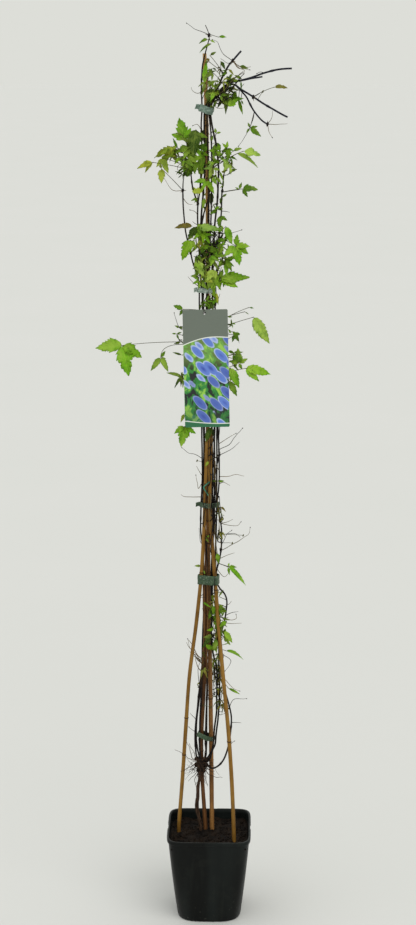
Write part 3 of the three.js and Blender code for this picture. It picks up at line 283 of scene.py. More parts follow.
# %% A material in the making
class Finish:
    """One Principled shader, and the nodes that feed it."""

    def __init__(self, name, **fixed):
        self.material = bpy.data.materials.new(name)
        self.material.use_nodes = True
        self.nodes, self.links = self.material.node_tree.nodes, self.material.node_tree.links
        self.shader = self.nodes["Principled BSDF"]
        self.set(**fixed)

    def node(self, kind, settings=None, inputs=None, output=0):
        """Adds one node: first its settings, then the values or the links of its sockets."""
        made = self.nodes.new(kind)
        for key, value in (settings or {}).items():
            setattr(made, key, value)
        for key, value in (inputs or {}).items():
            self.feed(made.inputs[key], value)
        return Value(self, made.outputs[output])

    def feed(self, socket, value):
        if isinstance(value, Value):
            self.links.new(value.socket, socket)
        else:
            socket.default_value = value

    def set(self, **values):
        for key, value in values.items():
            self.feed(self.shader.inputs[key.replace("_", " ")], value)

    def attribute(self, name, output="Vector"):
        return self.node("ShaderNodeAttribute", {"attribute_name": name}, None, output)

    def place(self):
        return self.node("ShaderNodeTexCoord", None, None, "Object")

    def parts(self, vector):
        """The three numbers of a vector."""
        made = self.node("ShaderNodeSeparateXYZ", None, {0: vector})
        return [Value(self, socket) for socket in made.socket.node.outputs]

    def stretched(self, vector, scale, turn=(0, 0, 0)):
        return self.node("ShaderNodeMapping", None, {"Vector": vector, "Scale": scale, "Rotation": turn})

    def noise(self, vector, scale, detail, rough=0.55, warp=0.0, turn=(0, 0, 0)):
        """Noise with so many lumps in a metre, or with a number of its own along each of three turned axes."""
        if isinstance(scale, tuple):
            vector, scale = self.stretched(vector, scale, turn), 1.0
        inputs = {"Vector": vector, "Scale": scale, "Detail": detail, "Roughness": rough, "Distortion": warp}
        return self.node("ShaderNodeTexNoise", None, inputs)

    def cells(self, vector, scale, feature="F1", output="Distance", even=1.0):
        inputs = {"Vector": vector, "Scale": scale, "Randomness": even}
        return self.node("ShaderNodeTexVoronoi", {"feature": feature}, inputs, output)

    def mix(self, share, first, second, blend="MIX"):
        """A colour that goes from first to second as share goes from 0 to 1. Three plain numbers are a paint."""
        first, second = [paint(*c) if isinstance(c, tuple) and len(c) == 3 else c for c in (first, second)]
        settings = {"data_type": "RGBA", "blend_type": blend, "clamp_factor": True}
        return self.node("ShaderNodeMix", settings, {0: share, 6: first, 7: second}, 2)

    def coats(self, colour, *coats):
        """Lays coats over a colour. Each is a share and the colour that it brings."""
        for share, coat in coats:
            colour = self.mix(share, colour, coat)
        return colour

    def times(self, first, second):
        """Two colours multiplied."""
        return self.mix(1.0, first, second, "MULTIPLY")

    def done(self, colour, height, depth, **more):
        """The material, with its colour, a surface that seems to stand out by height x depth, in metres, and
        more sockets."""
        relief = self.node("ShaderNodeBump", None, {"Height": height, "Distance": depth})
        self.set(Base_Color=colour, Normal=relief, **more)
        print(f"{self.material.name}: {len(self.nodes)} nodes")
        return self.material


# %% [markdown]
# ## The pot's plastic
#
# A nursery pot is injection moulded from recycled black plastic. It isn't quite black: broad cool bands are
# painted into its colour as a painted reflection. It also has dried splashes of lime near the foot, dust that sits in
# a fine moulded grain, and upright scuffs from stacking, which are painted lighter so that they are also painted
# reflection bands. A noise stretched along the height gives the scuffs, and a fine one gives the grain.

# %% Black pot plastic
def pot_plastic():
    finish = Finish("black pot plastic", Specular_IOR_Level=0.14)
    place = finish.place()
    height = finish.parts(place)[2]
    # Upright scuffs: real wear in the relief and the roughness, and in the colour a lighter band that is also a
    # painted reflection.
    scuff_and_reflection = finish.noise(place, (90, 90, 7), 4).rise(0.52, 0.78)
    dust = finish.noise(place, 34, 5, 0.7).rise(0.5, 0.8)
    lime = finish.noise(place, 210, 2).rise(0.66, 0.75) * height.rise(0.06, 0.0)
    grain = finish.noise(place, 1500, 2)
    # Broad cool-tinted bands painted into the colour: a painted reflection.
    painted_sheen = finish.noise(place, (16, 16, 1.5), 2).rise(0.42, 0.62)
    body = finish.coats((6, 8, 7), (painted_sheen * 0.8, (22, 27, 26)), (scuff_and_reflection * 0.5, (30, 34, 30)),
                        (dust * 0.25, (44, 46, 40)), (lime * 0.5, (112, 111, 102)))
    return finish.done(body, grain + scuff_and_reflection * 0.8, 0.00012, Roughness=0.40 + dust * 0.2 + scuff_and_reflection * 0.12)


POT_PLASTIC = pot_plastic()

# %% [markdown]
# ## The pot
#
# The pot is a rounded square that widens towards its lip. A box with bevels would do, but the corners of a real
# pot are rounder at its foot than at its rim. So one ring of points is bent to the curve |x|^n + |y|^n = 1, which
# is a circle for n = 2 and a square for a large n, and this ring is carried up a profile: foot, wall, lip, and
# down again inside. The lip is pressed in at the middle of each side. Below, the floor is made of four patches,
# each stretched between a quarter of the foot and one round drain hole.

# %% The pot's measures, in millimetres
POT_HEIGHT = 162.0
RIM_HALF = 75.0
FOOT_HALF = 57.5
WALL = 1.6
FLOOR = 2.0
LIP_HEIGHT = 7.0
LIP_REACH = 2.2
NOTCH_HALF = 13.5
NOTCH_DEEP = 0.9
DRAIN_RADIUS = 5.0
DRAIN_PLACE = 34.0
WALL_SWELL = 0.18
SQUARE_RIM = 7.5
SQUARE_FOOT = 3.3


def wall_half(height):
    """Half the pot's width under the lip at a height: a straight taper that swells a little."""
    rise = height / (POT_HEIGHT - LIP_HEIGHT)
    under = RIM_HALF - LIP_REACH
    return FOOT_HALF + (under - FOOT_HALF) * (rise + WALL_SWELL * rise * (1 - rise))


def squareness_at(height):
    """The power of the ring's curve: 7.5 at the rim, and 3.3 at the foot, where the corners are much rounder."""
    return SQUARE_RIM - (SQUARE_RIM - SQUARE_FOOT) * (1 - height / POT_HEIGHT) ** 1.2


def square_ring(turn, power):
    """The point of the curve |x|^n + |y|^n = 1 in the direction turn."""
    cosine, sine = np.cos(turn), np.sin(turn)
    reach = (np.abs(cosine) ** power + np.abs(sine) ** power) ** (-1 / power)
    return np.stack([reach * cosine, reach * sine], axis=-1)


# %% The directions round the pot: denser at the corners, and paired at the ends of each notch
quarter = np.linspace(0, math.pi / 2, 33)[:-1]
notch_end, slope = math.atan(NOTCH_HALF / RIM_HALF), 0.004
pairs = [end + step for end in (notch_end, math.pi / 2 - notch_end) for step in (-slope, slope)]
corner = np.sort(np.concatenate([quarter + 0.13 * np.sin(4 * quarter), pairs]))
POT_TURNS = np.concatenate([corner + k * math.pi / 2 for k in range(4)])
print("Points round the pot:", len(POT_TURNS))

# %% The wall and the lip
def pot_wall():
    """Rings of the rounded square along the profile foot, wall, lip, inside wall, floor."""
    shoulder, under = POT_HEIGHT - LIP_HEIGHT, RIM_HALF - LIP_REACH
    heights = np.linspace(3, shoulder - 1.2, 26)
    outside = [(FOOT_HALF - 4, 0), (FOOT_HALF - 2.2, 0.25), (FOOT_HALF - 0.6, 1.1)]
    outside += [(wall_half(h), h) for h in heights]
    lip = [(under, shoulder - 0.5), (under + 0.7, shoulder), (RIM_HALF - 0.5, shoulder + 0.1),
           (RIM_HALF - 0.05, shoulder + 0.6), (RIM_HALF, shoulder + 2.5), (RIM_HALF, POT_HEIGHT - 1.4),
           (RIM_HALF - 0.25, POT_HEIGHT - 0.5), (RIM_HALF - 0.9, POT_HEIGHT - 0.05), (RIM_HALF - 2.2, POT_HEIGHT),
           (under - WALL + 0.5, POT_HEIGHT - 0.1), (under - WALL, POT_HEIGHT - 0.6)]
    inside = [(wall_half(h) - WALL, h) for h in heights[::-1] if h > 5]
    inside += [(wall_half(5) - WALL - 0.8, 3.2), (wall_half(5) - WALL - 2.6, FLOOR)]
    profile = np.array(outside + lip + inside)
    reach, height = profile[:, 0, None], profile[:, 1, None]
    ring = square_ring(POT_TURNS[None, :], squareness_at(height))
    beside = np.minimum(np.abs(np.tan(POT_TURNS)), np.abs(1 / np.tan(POT_TURNS + 1e-9)))[None, :]
    pressed = (beside < NOTCH_HALF / RIM_HALF) & (height > shoulder + 0.05) & (reach > RIM_HALF - 1.0)
    reach = reach - NOTCH_DEEP * pressed
    return np.concatenate([ring * reach[..., None], np.broadcast_to(height[..., None], ring.shape[:2] + (1,))], -1)


# %% The floor with its drain holes, and the reach in metres within which points are one
SAME_PLACE = 0.00002


def quarter_patch(ring, height, hole):
    """A patch between a quarter of a ring and a round hole: each point of the edge moves straight towards the
    hole's middle and stops at its rim. The edge goes out along one axis, round the ring, and back along the
    other."""
    side = np.linspace(0, 1, 9)[:-1, None]
    edge = np.vstack([side * ring[0], ring[:-1], (1 - side) * ring[-1]])
    rim = hole + DRAIN_RADIUS * unit(edge - hole)
    share = np.linspace(0, 1, 6)[:, None, None]
    flat = edge[None] + share * (rim - edge)[None]
    return np.concatenate([flat, np.full(flat.shape[:2] + (1,), float(height))], axis=-1)


def weld(made):
    """Joins points that lie at the same place, so that neighbouring patches share their edge."""
    work = bmesh.new()
    work.from_mesh(made.data)
    bmesh.ops.remove_doubles(work, verts=work.verts, dist=SAME_PLACE)
    work.to_mesh(made.data)
    open_edges = sum(1 for edge in work.edges if not edge.is_manifold)
    work.free()
    print(made.name, "has", open_edges, "open edges after welding")


def make_pot():
    """The wall, and for each quarter the floor's lower side, its upper side and the hole's tube."""
    piece = Piece()
    wall = pot_wall()
    around = wall.shape[1]
    piece.add((wall, ring_faces(*wall.shape[:2], ends=False), wall))
    for k in range(4):
        index = np.arange(k * around // 4, (k + 1) * around // 4 + 1) % around
        turn = (k + 0.5) * math.pi / 2
        hole = DRAIN_PLACE * np.array([math.cos(turn), math.sin(turn)])
        under, above = quarter_patch(wall[0, index, :2], 0, hole), quarter_patch(wall[-1, index, :2], FLOOR, hole)
        for points, order in ((under, -1), (above, 1), (np.stack([under[-1], above[-1]]), -1)):
            piece.add((points, ring_faces(*points.shape[:2], ends=False)[:, ::order], points))
    weld(piece.make("pot_shell", [POT_PLASTIC], ["pot"]))


make_pot()

# %% [markdown]
# ## The soil
#
# Peat compost is a mass of dark fibres and crumbs, a little higher round the stems and lower at the wall. The
# filling is one closed surface with a bumpy top, and a few hundred crumbs of only a few faces each are pressed
# into it. The finish mixes a coarse noise for clods, cells for crumbs and a stretched, bent noise for pale fibres.

# %% Peat
def peat():
    finish = Finish("damp peat", Roughness=0.93, Specular_IOR_Level=0.15)
    place = finish.place()
    clod = finish.noise(place, 60, 5, 0.65)
    crumb = finish.cells(place, 420)
    fibre = finish.noise(place, (900, 120, 300), 3, warp=0.6, turn=(0.3, 0.2, 0.6))
    body = finish.coats((15, 10, 7), (clod.rise(0.35, 0.68), (36, 25, 15)),
                        (crumb.rise(0.35, 0.75) * 0.5, (12, 8, 6)), (fibre.rise(0.67, 0.75) * 0.55, (92, 68, 42)))
    return finish.done(body, clod * 1.4 + (1 - crumb) * 0.8 + fibre * 0.3, 0.0022)


PEAT = peat()
SOIL_TOP = 145.0
SOIL_GAP = 0.35
CRUMBS, CRUMB_REACH = 340, 66
FIBRES, FIBRE_REACH = 46, 62


def soil_level(x, y):
    """The soil's height above its mean: two slow waves, and a finer one."""
    slow = 1.6 * np.sin(x / 9 + 1) * np.cos(y / 11) + 0.9 * np.sin(x / 4.3 - y / 5.1)
    return slow + 0.5 * np.sin(x / 1.9 + 2 * np.sin(y / 3.3)) * np.cos(y / 2.3)


# %% The soil and its crumbs
def make_soil():
    """Rings of the pot's inside, with a share of its width and a height for each: the foot from its middle out,
    the side, and the top from its edge in. Then the crumbs and the fibres."""
    piece = Piece()
    turns = POT_TURNS[::2]
    rows = [(share, FLOOR + SOIL_GAP) for share in (0.02, 0.5, 0.93)]
    rows += [(1.0, height) for height in np.linspace(6, SOIL_TOP, 8)]
    rows += [(share, SOIL_TOP) for share in np.linspace(0.97, 0.02, 34)]
    rows = np.array(rows)
    share, height = rows[:, 0, None], rows[:, 1, None]
    half = (wall_half(height) - WALL - SOIL_GAP) * share
    ring = square_ring(turns[None, :], squareness_at(height))
    flat = ring * half[..., None]
    level = height + np.where(height >= SOIL_TOP, soil_level(flat[..., 0], flat[..., 1]) - 0.4, 0)
    points = np.concatenate([flat, level[..., None]], axis=-1)
    piece.add((points, ring_faces(len(rows), len(turns)), points))
    chance = np.random.default_rng(4)
    for k in range(CRUMBS):
        x, y = chance.uniform(-CRUMB_REACH, CRUMB_REACH, 2)
        size = chance.uniform(0.9, 2.6)
        where = (x, y, SOIL_TOP + soil_level(x, y) + 0.1 * size)
        half = size * chance.uniform(0.6, 1.3, 3)
        piece.add(lump(where, half, chance.normal(size=3), 4, 6, 0.25, k))
    for _ in range(FIBRES):
        x, y = chance.uniform(-FIBRE_REACH, FIBRE_REACH, 2)
        turn, reach = chance.uniform(0, math.pi), chance.uniform(4, 11)
        ends = np.array([[-1, 0.3], [0, 0], [1, -0.4]]) * reach
        xy = np.array([x, y]) + ends @ np.array([[math.cos(turn), math.sin(turn)], [-math.sin(turn), math.cos(turn)]])
        z = SOIL_TOP + soil_level(xy[:, 0], xy[:, 1]) + 0.7
        piece.add(rod(smooth_line(np.column_stack([xy, z]), 3), chance.uniform(0.25, 0.6), 4))
    piece.make("soil_fill", [PEAT], ["soil"])


make_soil()

# %% [markdown]
# ## Bamboo
#
# Thin bamboo canes are golden when new, tan after a year and brown when old. Fine fibres run along them, the skin
# is waxy and half shiny, and every hand's breadth there is a node: a raised ring with a dark line and a paler band
# below it. The fibres are a noise on the straightened cane, squeezed across and stretched along. The node marks
# can't come from noise, because they belong to the shape, so each point carries its nearness to a node in its
# tint's alpha.

# %% Three bamboo finishes
def bamboo(name, light, body, dark):
    finish = Finish(name, Specular_IOR_Level=0.15)
    laid = finish.attribute("laid")
    near = finish.attribute("tint", "Alpha")
    place = finish.place()
    fibre = finish.noise(laid, (1500, 1500, 22), 3)
    streak = finish.noise(laid, (420, 420, 9), 4, 0.6)
    patch = finish.noise(place, 14, 4, 0.6)
    speck = finish.noise(place, 330, 3).rise(0.64, 0.72)
    # Above 0.85 m the cane is painted lighter and more golden: partly a tone of its own and partly painted light on
    # its upper length.
    high = finish.parts(place)[2].rise(0.85, 1.15)
    colour = finish.coats(body, (streak.rise(0.3, 0.7), light), (patch.rise(0.42, 0.72) * 0.75, dark),
                          (fibre.rise(0.5, 0.75) * 0.35, dark), (speck * 0.5, (52, 34, 20)),
                          (high * 0.7, finish.mix(streak, light, (206, 168, 100))),
                          (near.rise(0.25, 0.62) * 0.45, light), (near.rise(0.72, 0.95) * 0.85, (50, 28, 14)))
    return finish.done(colour, fibre + streak * 0.6 + speck * 0.3, 0.00022, Roughness=0.42 + patch * 0.2)


PALE_BAMBOO = bamboo("golden bamboo", (148, 112, 52), (118, 82, 26), (82, 52, 14))
TAN_BAMBOO = bamboo("tan bamboo", (162, 118, 68), (120, 79, 40), (70, 43, 21))
DARK_BAMBOO = bamboo("brown bamboo", (112, 76, 44), (84, 52, 28), (50, 31, 18))

# %% The routes of the four canes: points, radii at foot and top, heights of the nodes, all in millimetres
CANES = {
    "cane_tall": {
        "route": [(5, 26.5, 50), (4.4, 24, 145), (3, 18, 300), (1.3, 13.5, 450), (-1.5, 9.5, 600), (-2.5, 6.2, 762),
                  (-3, 5.2, 1000), (-3, 4.2, 1250), (-4.6, 3.2, 1400), (-8, 2, 1524)],
        "foot": 4.2, "top": 3.2, "nodes": [120, 400, 690, 960, 1215, 1408]},
    "cane_left": {
        "route": [(-56, 9.5, 62), (-55.8, 9, 145), (-48.5, 5, 250), (-42, 2, 350), (-35, 0, 450), (-22.5, -3, 550),
                  (-13, -4.5, 650), (-7.5, -5, 762), (-4.2, -5, 875)],
        "foot": 3.6, "top": 3.2, "nodes": [90, 297, 368, 640, 800]},
    "cane_right": {
        "route": [(46, -29.5, 62), (45, -28.5, 145), (41, -25, 250), (34.5, -22, 350), (25, -17, 450),
                  (16, -11, 550), (8.5, -7.5, 650), (1, -7, 762), (3.3, -7, 890)],
        "foot": 3.6, "top": 3.2, "nodes": [110, 333, 610, 760]},
    "cane_brown": {
        "route": [(-5, 21, 60), (-7.4, 20.8, 145), (-13.5, 17.5, 255), (-14.5, 15, 320), (-11, 13.5, 400),
                  (-7, 15, 480), (-5.8, 16.5, 600), (-5, 16, 690)],
        "foot": 3.7, "top": 3.4, "nodes": [85, 300, 448, 610]},
}
print("Canes:", {name: f"{cane['route'][-1][2] - cane['route'][0][2]:.0f} mm high" for name, cane in CANES.items()})

# %% [markdown]
# ## The canes
#
# A cane could be a cylinder bent by a curve modifier. It is worked out directly: level rings follow the route, and
# their radius is a taper plus a bell-shaped swelling at each node, with a thin groove above it where the leaf
# sheath broke off. The sawn top is hollow, as bamboo is between its nodes.

# %% Canes
NODE_SWELL, NODE_WIDTH = 0.55, 2.2
GROOVE_DEEP, GROOVE_WIDTH, GROOVE_ABOVE = 0.25, 0.7, 1.9
CANE_AROUND = 16
CANE_FINISH = {"cane_tall": (TAN_BAMBOO, "pale_bamboo"), "cane_left": (PALE_BAMBOO, "pale_bamboo"),
               "cane_right": (PALE_BAMBOO, "pale_bamboo"), "cane_brown": (DARK_BAMBOO, "dark_bamboo")}


def bell(away, width):
    """exp(-(distance / width)^2): 1 in the middle and nearly 0 from two widths away."""
    return np.exp(-((away / width) ** 2))


def cane_radius(height, cane):
    """The cane's radius and its nearness to a node. The taper is a straight line from foot to top. A node adds a
    bell-shaped swelling, and a little above it takes off a narrow bell-shaped groove."""
    low, high = cane["route"][0][2], cane["route"][-1][2]
    radius = cane["foot"] + (cane["top"] - cane["foot"]) * (height - low) / (high - low)
    away = height[:, None] - np.array(cane["nodes"])[None, :]
    swell = NODE_SWELL * bell(away, NODE_WIDTH).sum(1)
    groove = GROOVE_DEEP * bell(away - GROOVE_ABOVE, GROOVE_WIDTH).sum(1)
    uneven = 0.12 * np.sin(height / 23 + low) * np.cos(height / 61)
    return radius + swell - groove + uneven, bell(away, 3.2).max(1)


def make_cane(name, cane, finish, slot):
    """Level rings round the route, closed at the foot and hollowed at the top. They are 7 mm apart, and closer at
    each node."""
    low, high = cane["route"][0][2], cane["route"][-1][2]
    heights = np.linspace(low, high, int((high - low) / 7))
    close = (np.array(cane["nodes"])[:, None] + np.array([-5, -3, -1.6, -0.7, 0, 0.7, 1.3, 1.9, 2.5, 4])).ravel()
    heights = np.unique(np.concatenate([heights, close[(close > low) & (close < high)]]))
    line = smooth_line(cane["route"], 24)
    radius, near = cane_radius(heights, cane)
    heights = np.append(heights, [high, high, high - 1, high - 9, high - 9.5])
    radius = np.append(radius, [radius[-1] - 0.25, radius[-1] * 0.55, radius[-1] * 0.48, radius[-1] * 0.42, 0.2])
    near = np.append(near, [0.1, 0.1, 0.4, 0.9, 0.9])
    turn = np.arange(CANE_AROUND)[None, :] * 2 * math.pi / CANE_AROUND
    chance = np.random.default_rng(int(low + high))
    reach = radius[:, None] * (1 + 0.03 * np.cos(2 * turn + chance.uniform(0, 6)))
    laid = np.stack([reach * np.cos(turn), reach * np.sin(turn), heights[:, None] + 0 * turn], axis=-1)
    middle = np.stack([np.interp(heights, line[:, 2], line[:, 0]), np.interp(heights, line[:, 2], line[:, 1]),
                       0 * heights], axis=-1)
    tint = np.ones((len(heights), 4))
    tint[:, 3] = near
    piece = Piece()
    piece.add((laid + middle[:, None], ring_faces(len(heights), CANE_AROUND), laid), 0, tint)
    piece.make(name + "_bamboo", [finish], [name])


for name, cane in CANES.items():
    make_cane(name, cane, *CANE_FINISH[name])


# %% [markdown]
# ## Old wood
#
# The plant's own foot is older than its stems: a woody, peeling shoot that rises from the soil, with a second
# strand beside it and a knot where every stem starts. Its bark is nearly black in the grooves and grey-brown on the
# loose strips. The grooves are a noise stretched along the straightened wood, so that they run with it.

# %% Bark
def bark():
    finish = Finish("old bark", Roughness=0.86, Specular_IOR_Level=0.2)
    strip = finish.noise(finish.attribute("laid"), (1300, 1300, 55), 4, 0.6, 0.4)
    flake = finish.noise(finish.place(), 170, 5, 0.65)
    colour = finish.coats((24, 17, 14), (strip.rise(0.36, 0.66), (88, 66, 50)),
                          (flake.rise(0.55, 0.75) * 0.4, (96, 84, 70)))
    colour = finish.times(colour, finish.attribute("tint", "Color"))
    return finish.done(colour, strip * 1.3 + flake * 0.6, 0.0009)


OLD_BARK = bark()

# %% The crown, in millimetres: foot, strand, knot, its burls with their size, and its rootlets
CROWN_FOOT = [(-15, 20, 118), (-15, 19.5, 145), (-20, 18, 172), (-22, 15.5, 200), (-20.5, 12.5, 228),
              (-18, 9, 252), (-15.5, 6, 272)]
CROWN_STRAND = [(-14, 15, 138), (-17, 14, 158), (-23, 13, 178), (-25.5, 12.5, 194), (-24, 13, 208)]
KNOT, KNOT_HALF = (-14.5, 4.5, 277), (8.4, 6.0, 12.4)
BURLS = [(-22, 8, 288, 3.6), (-17, 0, 289, 3.4), (-7, 7, 287, 4.0), (-5, 1, 279, 3.6), (0, -2, 277, 2.6),
         (-10, 3, 268, 3.8), (-20, 4, 268, 3.4), (-24, 6, 278, 3.2), (-3, 8, 288, 3.0)]
ROOTLETS = [
    [(-20, 4, 284), (-30, -3, 290), (-45, -6, 300), (-62, -6, 310)],
    [(-19, 4, 286), (-27, 2, 297), (-36, 0, 320)],
    [(-19, 2, 280), (-31, -2, 296), (-36, -5, 312), (-40, -6, 325)],
    [(-20, 5, 276), (-29, 3, 270)],
    [(-19, 5, 272), (-26, 4, 258), (-38, 3, 246)],
    [(-18, 5, 270), (-25, 4, 250), (-24, 4, 234)],
    [(-11, 3.5, 272), (2, 0, 268), (10, -2, 268)],
    [(-12.5, 4, 269), (-7, 3, 248), (-3, 3, 236)],
    [(-17, 4, 268), (-22, 1, 256), (-20, 0, 247), (-26, 0, 240)],
    [(-16, 1, 284), (-8, -4, 300), (-4, -6, 318)],
    [(-13, 1, 270), (3, -5, 262), (14, -8, 259), (24, -9, 258)],
    [(-22, 3, 280), (-33, 0, 276), (-46, -2, 268), (-52, -2, 267)],
]
GREY_ROOTLETS = (0, 1, 2, 9)
PEELS, WARTS, ROOT_HAIRS = 5, 46, 48


def wandering(line, reach, seed, slow=17.0):
    """Moves a line a little sideways: along each axis by the sum of two sines of the distance along it."""
    chance = np.random.default_rng(seed)
    far = distance_along(line)[:, None]
    ends = np.minimum(1, np.minimum(far, far[-1] - far) / 6)
    wave = np.sin(far / slow + chance.uniform(0, 6, 3)) + 0.5 * np.sin(far / (0.41 * slow) + chance.uniform(0, 6, 3))
    return line + reach * ends * wave


# %% The crown's wood
def make_crown():
    """The foot with peels that wind round it, the strand, the knot with burls and warts, and thin roots."""
    piece = Piece()
    chance = np.random.default_rng(2)
    foot = smooth_line(CROWN_FOOT, 12)
    far = distance_along(foot)
    piece.add(rod(foot, 2.35 + 0.3 * np.sin(far / 7), 12))
    for k in range(PEELS):
        turn = far / 26 + k * 2 * math.pi / PEELS
        peel = foot + 2.2 * np.stack([np.cos(turn), np.sin(turn), 0 * turn], axis=-1)
        part = slice(4 * k, len(foot) - 5 * (4 - k))
        thin = 0.9 + 0.35 * np.sin(far / 5 + k)
        piece.add(rod(wandering(peel, 0.25, k)[part], thin[part], 6), tint=(1.15, 1.05, 0.95, 1))
    piece.add(rod(wandering(smooth_line(CROWN_STRAND, 10), 0.3, 9), 1.35, 8))
    piece.add(lump(KNOT, KNOT_HALF, (-0.2, 0, 1), 17, 20, 0.09, 5), tint=(0.3, 0.28, 0.28, 1))
    for k, (x, y, z, size) in enumerate(BURLS):
        piece.add(lump((x, y, z), (size, size * 0.9, size * 1.3), (x + 14, 0, z - 290), 9, 10, 0.2, k),
                  tint=(0.32, 0.29, 0.29, 1))
    for k in range(WARTS):
        turn, level = chance.uniform(0, 2 * math.pi), chance.uniform(-0.8, 0.85)
        wide = math.sqrt(1 - level**2)
        where = np.array(KNOT) + (8.0 * wide * math.cos(turn), 5.6 * wide * math.sin(turn), 12 * level)
        size = chance.uniform(1.1, 2.7)
        piece.add(lump(where, (size, size * 0.8, size * 1.5), chance.normal(size=3), 6, 6, 0.2, k),
                  tint=(*[chance.uniform(0.25, 0.8)] * 3, 1))
    for k in range(ROOT_HAIRS):
        start = np.array(KNOT) + chance.normal(size=3) * (6, 3, 7)
        way = unit(chance.normal(size=3) * (1, 0.5, 1) + (-0.35, -0.1, -0.15))
        reach = chance.uniform(9, 34)
        end = start + (way + (0, 0, chance.uniform(-0.5, 0.5))) * reach
        line = wandering(smooth_line([start, start + way * reach * 0.5, end], 5), 0.9, k, 5)
        tone = chance.uniform(0.5, 1.5)
        piece.add(rod(line, np.linspace(0.45, 0.18, len(line)), 4), tint=(tone, 0.94 * tone, 0.84 * tone, 1))
    for k, points in enumerate(ROOTLETS):
        line = wandering(smooth_line(points, 8), 1.1, 20 + k, 6)
        taper = np.linspace(0.75, 0.3, len(line))
        piece.add(rod(line, taper, 6), tint=(1.5, 1.4, 1.2, 1) if k in GREY_ROOTLETS else (0.9, 0.85, 0.8, 1))
    piece.make("crown_wood", [OLD_BARK], ["crown"])


make_crown()

# %% [markdown]
# ## The stems' skin
#
# The young stems are thinner than a pencil lead. They are dark purple-brown where the bark has ripened and greener
# towards the leaves, and fine ridges run along them. One finish does for stems, leafstalks and tendrils: the
# colour comes with the tint of each point, and the finish adds the ridges, blotches and the small pale pores.

# %% Stem skin
def stem_skin():
    finish = Finish("stem skin", Roughness=0.55, Specular_IOR_Level=0.12)
    laid = finish.attribute("laid")
    tint = finish.attribute("tint", "Color")
    ridge = finish.noise(laid, (2600, 2600, 60), 2)
    blotch = finish.noise(finish.place(), 95, 4, 0.6)
    pore = finish.noise(laid, (1900, 1900, 700), 1).rise(0.66, 0.76)
    colour = finish.coats(tint, (blotch.rise(0.4, 0.7) * 0.55, finish.times(tint, (0.42, 0.36, 0.34, 1))),
                          (ridge.rise(0.55, 0.75) * 0.3, finish.times(tint, (1.9, 1.7, 1.5, 1))),
                          (pore * 0.35, (120, 104, 84)))
    return finish.done(colour, ridge + blotch * 0.5, 0.0003)


STEM_SKIN = stem_skin()

# %% [markdown]
# ## The leaf
#
# A clematis leaf is thin and matt, lighter below than above. Three main veins leave its foot, side veins curve
# towards the teeth, and the blade between them is quilted. Fully grown blades are mottled and their edges turn
# yellow. The darker mottling is partly real and partly painted shade within the leaf, and broad lighter patches
# are painted highlights.
# Each point of a blade knows its share of the length and of the width (laid), so the veins are drawn from those
# two numbers: a side vein is where the share along, less a part of the share across, comes round again.

# %% Leaf blade
SIDE_VEINS, VEIN_SLANT = 7, 0.26


def leaf_blade():
    finish = Finish("leaf blade", Specular_IOR_Level=0.1)
    along, across = finish.parts(finish.attribute("laid"))[:2]
    along, across = along * 1000, abs(across * 1000)
    tint = finish.attribute("tint", "Color")
    rib = across.rise(0.085, 0.02)
    phase = ((along - across * VEIN_SLANT) * SIDE_VEINS).one("fract") - 0.5
    side = abs(phase).rise(0.10, 0.03) * across.rise(0.98, 0.8) * along.rise(0.04, 0.12)
    arch = abs(across - (along * math.pi).one("sine") * 0.46).rise(0.05, 0.012) * along.rise(0.72, 0.5)
    vein = rib.most(side * 0.7).most(arch * 0.75)
    place = finish.place()
    net = finish.cells(place, 620, "DISTANCE_TO_EDGE").rise(0.12, 0.02)
    # Painted shade and highlight: the darker mottling is partly real and partly painted shade, and the lighter
    # patches of the broad noise below are painted highlights.
    mottle_and_shade = finish.noise(place, 130, 4, 0.62)
    large = finish.noise(place, 34, 3, 0.5)
    edge = across.rise(0.8, 1.0) * mottle_and_shade.rise(0.35, 0.6)
    # The darker green is the mottling's colour, partly painted shade. The paler green is used by the veins and the
    # net, which are real, and by the painted highlight patches.
    mottle_and_shade_green = finish.times(tint, (0.36, 0.47, 0.46, 1))
    light = finish.mix(0.5, tint, (180, 204, 88))
    colour = finish.coats(tint, (mottle_and_shade.rise(0.36, 0.66) * 0.75, mottle_and_shade_green), (large.rise(0.45, 0.66) * 0.75, light),
                          (edge * 0.3, (128, 132, 44)), (net * 0.16, light), (vein * 0.42, light))
    height = (abs(phase) * 2).one("sqrt") * -0.8 + vein * -0.5 + net * -0.12 + mottle_and_shade * 0.25
    return finish.done(colour, height, 0.0005, Roughness=0.46 + mottle_and_shade * 0.16)


LEAF_BLADE = leaf_blade()

# %% [markdown]
# ## Blades, leafstalks and whole leaves
#
# A compound leaf has three or more toothed blades on one stalk. Blades could be copied as instances, but each one
# here has its own size, form and wave, and they grow in one piece with their stem. A blade is a sheet over two
# shares: along its rib and across it. Its half width is sin(pi s^0.72)^0.85, cut back behind each tooth by a saw
# of the share along, and drawn in between its lobes. The sheet folds up from the rib, curls back and sags
# towards its tip, and its edge waves.

# %% The three forms of a blade: its width, fold, curl, depth of the teeth, and how far its lobes are drawn in
FORMS = {"broad": (0.64, 0.22, 0.10, 0.24, 0.34), "oval": (0.48, 0.28, 0.12, 0.20, 0.12),
         "narrow": (0.25, 0.40, 0.15, 0.14, 0.0)}
TOOTH_LENGTH = 6.5
FINE, COARSE = np.array([-1, -0.62, -0.28, 0, 0.28, 0.62, 1]), np.array([-1, -0.5, 0, 0.5, 1])

